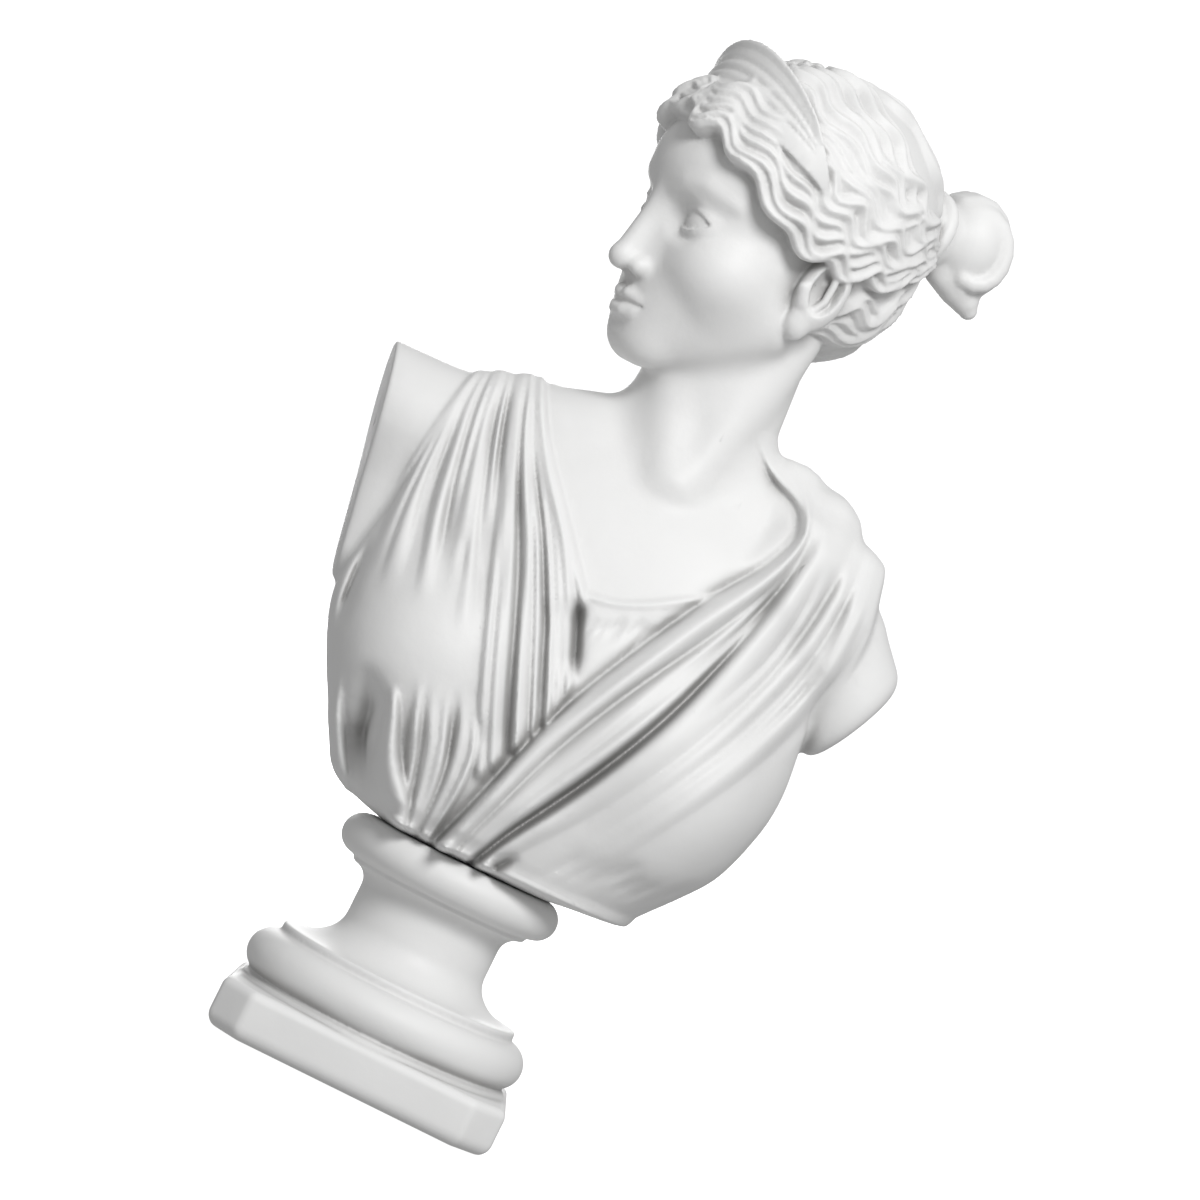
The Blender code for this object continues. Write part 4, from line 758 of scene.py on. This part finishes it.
def wavy_lock(relief, texels, angles, width, height, wave, order, rng):
    """One lock, which swings from side to side nearly in step with its neighbours."""
    path, normals = on_cap(angles)
    steps = np.linalg.norm(np.diff(path, axis=0), axis=1)
    run = np.concatenate([[0], np.cumsum(steps)])
    share = run / run[-1]
    phase = run * (2 * math.pi / (wave * rng.uniform(0.94, 1.06))) + 0.5 * order + rng.uniform(-0.25, 0.25)
    phase = phase + 0.7 * np.sin(run / 11 + 0.4 * order)
    tangent = np.gradient(path, axis=0)
    side = np.cross(normals, tangent)
    side /= np.linalg.norm(side, axis=1)[:, None] + 1e-9
    swing = rng.uniform(1.2, 1.9) * (1 + 0.35 * np.sin(run / 9 + 0.3 * order))
    swing = swing * smoothstep(0, 0.08, share) * smoothstep(0, 0.15, 1 - share)
    path = path + side * (swing * np.sin(phase))[:, None]
    wide = width * rng.uniform(0.85, 1.15) * (0.6 + 0.4 * smoothstep(0, 0.1, share))
    wide = wide * (1 - 0.3 * smoothstep(0.6, 1.0, share))
    high = height * rng.uniform(0.6, 1.2) * (0.95 + 0.15 * np.cos(phase))
    high = high * (0.6 + 0.4 * smoothstep(0, 0.12, share)) * (1 - 0.2 * smoothstep(0.7, 1, share))
    draw_lock(relief, texels, path.astype(np.float32), normals, wide, high, rng.choice((2.0, 3.0, 4.0)))


def hair(q, relief):
    unit = (q - CAP_AT) / CAP
    length = np.maximum(np.linalg.norm(unit, axis=1), 1e-4)
    around = np.degrees(np.arctan2(unit[:, 0], unit[:, 2]))
    back = np.degrees(np.arccos(np.clip(-unit[:, 1] / length, -1, 1)))
    shell = smooth_min(ellipsoid(CAP_AT, CAP)(q), ellipsoid(NAPE_AT, NAPE)(q), 7)
    shell = smooth_min(shell, cone(*NAPE_END)(q), 5)
    return shell - relief.read(around, back)


KNOT_AT = (0.0, 62.0, 16.5)


def knot(q):
    """The knot at the back: a short stalk, twisted rolls over a ball and a loose end below."""
    clay = Clay(q, cone((0, 36, 14), (0, 56, 17), 12.5, 8.5))
    clay.add(ellipsoid(KNOT_AT, (11.9, 10.4, 13.5)), 2.0)
    for i, offset in enumerate((-9.0, -4.6, 0.0, 4.4, 8.8)):
        turns = np.linspace(-2.1, 1.9, 11)
        shrink = math.sqrt(1 - (offset / 14) ** 2)
        path = [(KNOT_AT[0] + offset * (1 - 0.08 * t * t) + 2.2 * math.sin(0.8 * t + 0.5),
                 KNOT_AT[1] + 8.9 * shrink * math.cos(t),
                 KNOT_AT[2] - 11.9 * shrink * math.sin(t)) for t in turns]
        clay.add(tube(path, 2.4 + 0.4 * (i % 2)), 1.4)
    clay.add(tube([(2, 56, 8), (4, 61.5, 4.5), (5, 65, 2.2), (5.6, 66.5, 0.2)], [4.5, 4.6, 3.8, 2.6]), 1.5)
    wrap = [(11 * math.cos(t), 47.5 + 1.6 * math.sin(2 * t), 15.5 + 10.5 * math.sin(t))
            for t in np.linspace(-0.6, 2 * math.pi - 0.9, 22)]
    clay.add(tube(wrap, np.linspace(2.2, 3.3, 22)), 1.4)
    clay.add(tube([(x * 0.93, y - 3.8, 15.5 + (z - 15.5) * 0.95) for x, y, z in wrap[4:]], 2.2), 1.2)
    return clay.d


# Diadem: its lean, its ring and the planes that cut it
DIADEM_LEAN = math.radians(26)
DIADEM_RADIUS = 22.3
DIADEM_HALF_WIDTH = 32.0
DIADEM_AT = 14.8
DIADEM_BASE = 17.0
DIADEM_TOP = 17.5
DIADEM_RISE = 16.0
DIADEM_SUNK = 3.5
DIADEM_FLARE = 0.04
DIADEM_POWER = 1.9
DIADEM_GROOVES = (0.2, 0.42, 0.64)


def diadem(q):
    """A crescent band: a leaning cylinder shell between two planes that meet near its tips."""
    u = q[:, 1] * math.sin(DIADEM_LEAN) + q[:, 2] * math.cos(DIADEM_LEAN)
    v = q[:, 2] * math.sin(DIADEM_LEAN) - q[:, 1] * math.cos(DIADEM_LEAN)
    base = DIADEM_BASE + (v - DIADEM_AT) * 0.08
    top = DIADEM_TOP + (v - DIADEM_AT) * DIADEM_RISE / DIADEM_RADIUS
    share = np.clip((u - base) / np.maximum(top - base, 0.5), 0, 1.2)
    x = q[:, 0] * DIADEM_RADIUS / DIADEM_HALF_WIDTH
    r = (np.abs(x) ** DIADEM_POWER + np.abs(v - DIADEM_AT) ** DIADEM_POWER) ** (1 / DIADEM_POWER)
    r = r - DIADEM_RADIUS - DIADEM_FLARE * (u - 18)
    front = smoothstep(2.5, 8.0, top - base)
    thick = 1.0 + 0.6 * smoothstep(0.84, 0.92, share) * front
    for at in DIADEM_GROOVES:
        thick = thick - 0.5 * np.exp(-(((share - at) / 0.05) ** 2)) * front
    d = smooth_max(np.abs(r) - thick, (u - top) * 0.85, 0.5)
    return np.maximum(d, base - DIADEM_SUNK - u)


# Where the trunk ends and the head begins, in height, and how near to the skin the dress counts
TRUNK_TOP = 175
HEAD_FOOT = 120
DRESS_DEPTH = 12


class Figure:
    """The whole bust as one distance field."""

    def __init__(self, pitch):
        self.front = front_relief(pitch)
        self.back = back_relief(pitch)
        self.locks = hair_relief(2.0 * pitch)

    def dress(self, p):
        """The dress's height, which passes from the front's map to the back's at the sides."""
        facing = smoothstep(2.0, 12.0, p[:, 1])
        ahead = self.front.read(p[:, 0], p[:, 2])
        return ahead + (self.back.read(p[:, 0], p[:, 2]) - ahead) * facing

    def __call__(self, p):
        d = np.full(len(p), FAR, np.float32)
        low = np.flatnonzero(p[:, 2] < TRUNK_TOP)
        trunk = body(p[low])
        near = np.flatnonzero(np.abs(trunk) < DRESS_DEPTH)
        trunk[near] -= self.dress(p[low][near])
        for stump in arms(p[low]):
            trunk = smooth_min(trunk, stump, 2.5)
        d[low] = smooth_min(trunk, neck(p[low]), 6)
        high = np.flatnonzero(p[:, 2] > HEAD_FOOT)
        q = to_head(p[high])
        head = smooth_min(d[high], face(q), 4)
        head = smooth_min(head, hair(q, self.locks), 0.6)
        head = smooth_min(head, knot(q), 1.0)
        d[high] = smooth_min(head, diadem(q), 1.0)
        return smooth_max(d, -p[:, 2], 0.6)


def carve(field, low, high, cell, levels=3):
    """A closed mesh of the field's surface: the grid is refined where the surface passes."""
    low = numbers(low)
    step = cell * 2 ** levels
    counts = np.ceil((numbers(high) - low) / step).astype(int) + 1
    grid = None
    for _ in range(levels + 1):
        if grid is None:
            grid = np.empty(counts, np.float32)
            at = np.arange(grid.size)
        else:
            for axis in range(3):
                grid = np.repeat(grid, 2, axis)
            at = np.flatnonzero(np.abs(grid.ravel()) < SURFACE_REACH * step)
            step = step / 2
        corner = np.stack(np.unravel_index(at, grid.shape), 1).astype(np.float32)
        flat = grid.ravel()
        for first in range(0, len(at), BATCH):
            some = slice(first, first + BATCH)
            flat[at[some]] = field(corner[some] * np.float32(step) + low)
        grid = flat.reshape(grid.shape)
    volume = openvdb.FloatGrid((BAND_CELLS + 1) * cell)
    volume.copyFromArray(np.clip(grid, -BAND_CELLS * cell, BAND_CELLS * cell))
    points, _, quads = volume.convertToPolygons()
    return largest_shell(points * cell + low, quads)


def largest_shell(points, quads):
    """The mesh without the small bubbles that are closed in where shapes meet."""
    label = np.arange(len(points))
    ends = np.concatenate([quads[:, (0, 1)], quads[:, (1, 2)]])
    while True:
        lowest = np.minimum(label[ends[:, 0]], label[ends[:, 1]])
        known = label.copy()
        np.minimum.at(label, ends[:, 0], lowest)
        np.minimum.at(label, ends[:, 1], lowest)
        label = label[label]
        if np.array_equal(known, label):
            break
    names, sizes = np.unique(label, return_counts=True)
    kept = label == names[sizes.argmax()]
    number = np.cumsum(kept) - 1
    faces = number[quads[kept[quads[:, 0]]]]
    return points[kept], faces.tolist()


# The socle's sizes, in metres, as in its solid
BLOCK_WIDTH = 0.0800
BLOCK_HEIGHT = 0.0135
BLOCK_CHAMFER = 0.0085
BLOCK_FOOT_ROUNDING = 0.0038
BLOCK_TOP_ROUNDING = 0.0024
CORNER_ROUNDING = 0.0010
COVE_HEIGHT = 0.0012
COVE_RADIUS = 0.0380
BASE_TORUS_HEIGHT = 0.0128
BASE_TORUS_RADIUS = 0.0397
BASE_FILLET_HEIGHT = 0.0027
BASE_FILLET_RADIUS = 0.0336
STEM_HEIGHT = 0.0220
STEM_RADIUS = 0.0200
FOOT_FLARE = (0.0125, 0.0092)
TOP_FLARE = (0.0050, 0.0046)
CAP_FILLET_HEIGHT = 0.0016
CAP_FILLET_RADIUS = 0.0250
CAP_TORUS_HEIGHT = 0.0110
CAP_TORUS_RADIUS = 0.0311
SOCLE_HEIGHT = (BLOCK_HEIGHT + COVE_HEIGHT + BASE_TORUS_HEIGHT + BASE_FILLET_HEIGHT + STEM_HEIGHT
                + CAP_FILLET_HEIGHT + CAP_TORUS_HEIGHT)

# How the socle is turned, worn and meshed
TURNED_STEPS = 144
SOFTENING = 0.0005
SOCLE_CELL = 0.0005
SOCLE_FACES_KEPT = 0.3

# Plaster: the scales and heights of its clouds, waves and grain, its satin, and the reach and tone of the
# shade painted into its hollows
CLOUD_SCALE = 38.0
CLOUD_TONE = 0.97
SATIN = (0.46, 0.60)
WAVE_SCALE = 120.0
WAVE_HEIGHT = 0.0006
GRAIN_SCALE = 900.0
GRAIN_HEIGHT = 0.00015
# Painted shade: how far it looks for nearby walls, and the darkest tone it paints into creases
PAINTED_SHADE_REACH = 0.006
PAINTED_SHADE_TONE = (0.44, 0.435, 0.43, 1)
WHITE = (1, 1, 1, 1)


def set_inputs(node, values):
    for name, value in values.items():
        node.inputs[name].default_value = value


def noise(tree, place, scale, detail):
    """A noise over the object's own coordinates."""
    texture = tree.nodes.new("ShaderNodeTexNoise")
    set_inputs(texture, {"Scale": scale, "Detail": detail})
    tree.links.new(place.outputs["Object"], texture.inputs["Vector"])
    return texture.outputs["Fac"]


def ramp(tree, value, start, end):
    """A colour between two stops, each of them a value and a colour."""
    stops = tree.nodes.new("ShaderNodeValToRGB")
    for stop, (position, colour) in zip(stops.color_ramp.elements, (start, end)):
        stop.position = position
        stop.color = colour
    tree.links.new(value, stops.inputs["Fac"])
    return stops.outputs["Color"]


def bump(tree, height, strength, distance):
    node = tree.nodes.new("ShaderNodeBump")
    set_inputs(node, {"Strength": strength, "Distance": distance})
    tree.links.new(height, node.inputs["Height"])
    return node


def plaster(name, colour):
    """White plaster: faint clouds, painted shade in the hollows, low waves, fine grain and a slight satin.
    """
    material = bpy.data.materials.new(name)
    material.use_nodes = True
    tree = material.node_tree
    shader = tree.nodes["Principled BSDF"]
    shader.inputs["Specular IOR Level"].default_value = 0.42
    place = tree.nodes.new("ShaderNodeTexCoord")
    clouds = noise(tree, place, CLOUD_SCALE, 5.0)
    dull = [channel * CLOUD_TONE for channel in colour]
    tint = ramp(tree, clouds, (0.35, (*dull, 1)), (0.65, (*colour, 1)))

    # Painted shade: the base colour is darkened where nearby surfaces close a point in, in the creases and
    # hollows of folds and locks
    crease_occlusion = tree.nodes.new("ShaderNodeAmbientOcclusion")
    crease_occlusion.samples = 6
    crease_occlusion.only_local = True
    crease_occlusion.inputs["Distance"].default_value = PAINTED_SHADE_REACH
    painted_shade = ramp(tree, crease_occlusion.outputs["AO"], (0.30, PAINTED_SHADE_TONE), (0.90, WHITE))
    shaded_tint = tree.nodes.new("ShaderNodeMix")
    shaded_tint.data_type = "RGBA"
    shaded_tint.blend_type = "MULTIPLY"
    shaded_tint.inputs["Factor"].default_value = 1.0
    tree.links.new(tint, shaded_tint.inputs["A"])
    tree.links.new(painted_shade, shaded_tint.inputs["B"])
    tree.links.new(shaded_tint.outputs["Result"], shader.inputs["Base Color"])

    satin = tree.nodes.new("ShaderNodeMapRange")
    set_inputs(satin, {"From Min": 0.3, "From Max": 0.7, "To Min": SATIN[0], "To Max": SATIN[1]})
    tree.links.new(clouds, satin.inputs["Value"])
    tree.links.new(satin.outputs["Result"], shader.inputs["Roughness"])

    waves = bump(tree, noise(tree, place, WAVE_SCALE, 2.0), 0.25, WAVE_HEIGHT)
    grain = bump(tree, noise(tree, place, GRAIN_SCALE, 3.0), 0.18, GRAIN_HEIGHT)
    tree.links.new(waves.outputs["Normal"], grain.inputs["Normal"])
    tree.links.new(grain.outputs["Normal"], shader.inputs["Normal"])
    return material


def link(thing, material=None):
    """Puts an object into the scene, and its material on it."""
    if material:
        thing.data.materials.append(material)
    bpy.context.scene.collection.objects.link(thing)
    return thing


def mesh_object(name, points, edges, faces):
    mesh = bpy.data.meshes.new(name)
    mesh.from_pydata(points, edges, faces)
    return bpy.data.objects.new(name, mesh)


def applied(thing):
    """A new mesh with the object's modifiers applied."""
    bpy.context.view_layer.update()
    seen = thing.evaluated_get(bpy.context.evaluated_depsgraph_get())
    mesh = bpy.data.meshes.new_from_object(seen)
    old = thing.data
    thing.modifiers.clear()
    thing.data = mesh
    bpy.data.meshes.remove(old)


def worn(thing, rounds, kept):
    """Wears the edges round, keeps that share of the faces, and shades them smooth."""
    smooth = thing.modifiers.new("Wear", "SMOOTH")
    smooth.factor = 0.5
    smooth.iterations = rounds
    thinner = thing.modifiers.new("Fewer faces", "DECIMATE")
    thinner.ratio = kept
    applied(thing)
    thing.data.shade_smooth()


# Bust

def bust_casting():
    """The finely carved bust, clipped to the box of its solid before it is worn."""
    points, faces = carve(Figure(RELIEF_PITCH), CARVING_LOW, CARVING_HIGH, CARVING_CELL)
    base = np.array((0, 0, BUST_BASE))
    low, high = (np.array(corner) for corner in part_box("bust"))
    points = np.clip(points * PART + base, low, high) - base
    thing = mesh_object("bust_casting", points.tolist(), [], faces)
    link(thing, plaster("bust plaster", (0.845, 0.845, 0.84)))
    thing.location.z = BUST_BASE
    worn(thing, 2, min(1.0, BUST_TRIANGLES / (2 * len(faces))))
    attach(thing, "root")
    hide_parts("bust")


# Socle

def arc(centre, radii, start, end, steps):
    """Points (radius, height) of an elliptic arc between two angles in degrees."""
    angles = np.radians(np.linspace(start, end, steps))
    return [(centre[0] + radii[0] * math.cos(a), centre[1] + radii[1] * math.sin(a)) for a in angles]


def socle_profile():
    """The turned part's outer line, from the middle of its top down to the block."""
    half_cap = CAP_TORUS_HEIGHT / 2
    half_base = BASE_TORUS_HEIGHT / 2
    cap = SOCLE_HEIGHT - CAP_TORUS_HEIGHT
    stem_top = cap - CAP_FILLET_HEIGHT
    stem_foot = stem_top - STEM_HEIGHT
    base = stem_foot - BASE_FILLET_HEIGHT - BASE_TORUS_HEIGHT
    sunk = BLOCK_HEIGHT - BLOCK_TOP_ROUNDING / 2
    points = [(0.0, SOCLE_HEIGHT)]
    points += arc((CAP_TORUS_RADIUS - half_cap, cap + half_cap), (half_cap, half_cap), 90, -90, 25)
    points += [(CAP_FILLET_RADIUS, cap), (CAP_FILLET_RADIUS, stem_top)]
    points += arc((STEM_RADIUS + TOP_FLARE[0], stem_top - TOP_FLARE[1]), TOP_FLARE, 90, 180, 15)
    points += arc((STEM_RADIUS + FOOT_FLARE[0], stem_foot + FOOT_FLARE[1]), FOOT_FLARE, 180, 270, 25)
    points += [(BASE_FILLET_RADIUS, stem_foot), (BASE_FILLET_RADIUS, stem_foot - BASE_FILLET_HEIGHT)]
    points += arc((BASE_TORUS_RADIUS - half_base, base + half_base), (half_base, half_base), 90, -90, 25)
    points += [(COVE_RADIUS, base), (COVE_RADIUS, sunk), (0.0, sunk)]
    return np.array(points)


def softened(points):
    """The profile with its corners worn round, as in a cast from a soft mould."""
    steps = np.hypot(*np.diff(points, axis=0).T)
    run = np.concatenate([[0], np.cumsum(steps)])
    even = np.arange(0, run[-1], SOFTENING / 2)
    line = np.stack([np.interp(even, run, points[:, i]) for i in range(2)], 1)
    reach = 6
    window = np.exp(-0.5 * (np.arange(-reach, reach + 1) / 2.0) ** 2)
    window /= window.sum()
    padded = np.concatenate([line[:1].repeat(reach, 0), line, line[-1:].repeat(reach, 0)])
    soft = np.stack([np.convolve(padded[:, i], window, "valid") for i in range(2)], 1)
    soft[0], soft[-1] = points[0], points[-1]
    soft[:, 0] = np.maximum(soft[:, 0], 0)
    return soft


def turned(profile):
    thing = mesh_object("turned", [(radius, 0.0, height) for radius, height in profile],
                        [(i, i + 1) for i in range(len(profile) - 1)], [])
    link(thing)
    screw = thing.modifiers.new("Turning", "SCREW")
    screw.steps = TURNED_STEPS
    screw.render_steps = TURNED_STEPS
    screw.use_merge_vertices = True
    screw.merge_threshold = 0.00001
    return thing


def square_block():
    """The square block with cut corners and rounded rims."""
    mesh = bpy.data.meshes.new("socle_casting")
    shape = bmesh.new()
    bmesh.ops.create_cube(shape, size=1.0)
    size = Matrix.Diagonal((BLOCK_WIDTH, BLOCK_WIDTH, BLOCK_HEIGHT, 1.0))
    lift = Matrix.Translation((0, 0, BLOCK_HEIGHT / 2))
    bmesh.ops.transform(shape, matrix=lift @ size, verts=shape.verts)
    upright = [edge for edge in shape.edges
               if abs((edge.verts[0].co - edge.verts[1].co).normalized().dot(Vector((0, 0, 1)))) > 0.9]
    bmesh.ops.bevel(shape, geom=upright, offset=BLOCK_CHAMFER, segments=1, affect="EDGES")
    for height, rounding in ((0.0, BLOCK_FOOT_ROUNDING), (BLOCK_HEIGHT, BLOCK_TOP_ROUNDING)):
        rim = [edge for edge in shape.edges if all(abs(vert.co.z - height) < 1e-6 for vert in edge.verts)]
        bmesh.ops.bevel(shape, geom=rim, offset=rounding, segments=8, profile=0.5, affect="EDGES")
    shape.to_mesh(mesh)
    shape.free()
    return bpy.data.objects.new("socle_casting", mesh)


def socle_casting():
    """The block and the turned part as one casting."""
    block = link(square_block(), plaster("socle plaster", (0.84, 0.84, 0.835)))
    bevel = block.modifiers.new("Rounding", "BEVEL")
    bevel.width = CORNER_ROUNDING
    bevel.segments = 4
    bevel.limit_method = "ANGLE"
    bevel.angle_limit = math.radians(30)
    stem = turned(softened(socle_profile()))
    union = block.modifiers.new("Turned part", "BOOLEAN")
    union.operation = "UNION"
    union.object = stem
    applied(block)
    bpy.data.objects.remove(stem)
    remesh = block.modifiers.new("Even faces", "REMESH")
    remesh.mode = "VOXEL"
    remesh.voxel_size = SOCLE_CELL
    worn(block, 3, SOCLE_FACES_KEPT)
    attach(block, "root")
    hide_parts("socle")


# Stage, lights and camera, in metres and watts
FLOOR_FRONT = -2.5
FLOOR_BACK = 0.9
FLOOR_DROP = 0.0002
BEND_RADIUS = 0.8
WALL_TOP = 4.0
SWEEP_HALF_WIDTH = 5.0
PAPER = (0.92, 0.92, 0.92, 1)
PAPER_GLOW = 0.75
LIT_POINT = (0, 0, 0.17)
LIGHTS = (
    # name, place, diameter, power
    ("key", (0.32, -1.05, 0.85), 0.45, 11.5),
    ("back", (-0.15, 1.25, 0.35), 0.6, 5.0),
)
SKY_STRENGTH = 0.36


def sweep():
    """A pale floor that curves up into a wall behind."""
    profile = [(FLOOR_FRONT, 0.0), (FLOOR_BACK, 0.0)]
    for angle in np.linspace(0.05, math.pi / 2, 20):
        rise = BEND_RADIUS - BEND_RADIUS * math.cos(angle)
        profile.append((FLOOR_BACK + BEND_RADIUS * math.sin(angle), rise))
    profile.append((FLOOR_BACK + BEND_RADIUS, WALL_TOP))
    verts = [(x, y, z - FLOOR_DROP) for y, z in profile for x in (-SWEEP_HALF_WIDTH, SWEEP_HALF_WIDTH)]
    faces = [(2 * i, 2 * i + 1, 2 * i + 3, 2 * i + 2) for i in range(len(profile) - 1)]
    thing = mesh_object("sweep", verts, [], faces)
    thing.data.shade_smooth()
    material = bpy.data.materials.new("sweep paper")
    material.use_nodes = True
    shader = material.node_tree.nodes["Principled BSDF"]
    set_inputs(shader, {"Base Color": PAPER, "Roughness": 0.9, "Specular IOR Level": 0.1,
                        "Emission Color": WHITE, "Emission Strength": PAPER_GLOW})
    link(thing, material)
    thing.visible_diffuse = False
    thing.visible_glossy = False


def lights():
    """Round lamps that face the middle of the object, and an even white surrounding."""
    for name, place, diameter, power in LIGHTS:
        lamp = bpy.data.lights.new(name, "AREA")
        lamp.shape = "DISK"
        lamp.size = diameter
        lamp.energy = power
        thing = bpy.data.objects.new(name, lamp)
        thing.location = place
        aim = Vector(LIT_POINT) - Vector(place)
        thing.rotation_euler = aim.to_track_quat("-Z", "Y").to_euler()
        link(thing)
    world = bpy.data.worlds.new("studio")
    bpy.context.scene.world = world
    world.use_nodes = True
    back = world.node_tree.nodes["Background"]
    set_inputs(back, {"Color": WHITE, "Strength": SKY_STRENGTH})


def camera():
    data = bpy.data.cameras.new("camera")
    data.sensor_width = SENSOR
    data.lens = FOCAL_PIXELS / PHOTO_PIXELS * SENSOR
    data.clip_start, data.clip_end = CAMERA_CLIP
    thing = bpy.data.objects.new("camera", data)
    place = Matrix.Translation((0, -CAMERA_DISTANCE, CAMERA_HEIGHT))
    turn = (Matrix.Rotation(-LOOK_RIGHT, 4, "Z") @ Matrix.Rotation(math.radians(90) + LOOK_UP, 4, "X")
            @ Matrix.Rotation(LEAN, 4, "Z"))
    thing.matrix_world = place @ turn
    link(thing)
    bpy.context.scene.camera = thing


camera()
lights()
sweep()
bust_casting()
socle_casting()

scene = bpy.context.scene
scene.view_settings.view_transform = "Standard"
scene.view_settings.look = "None"
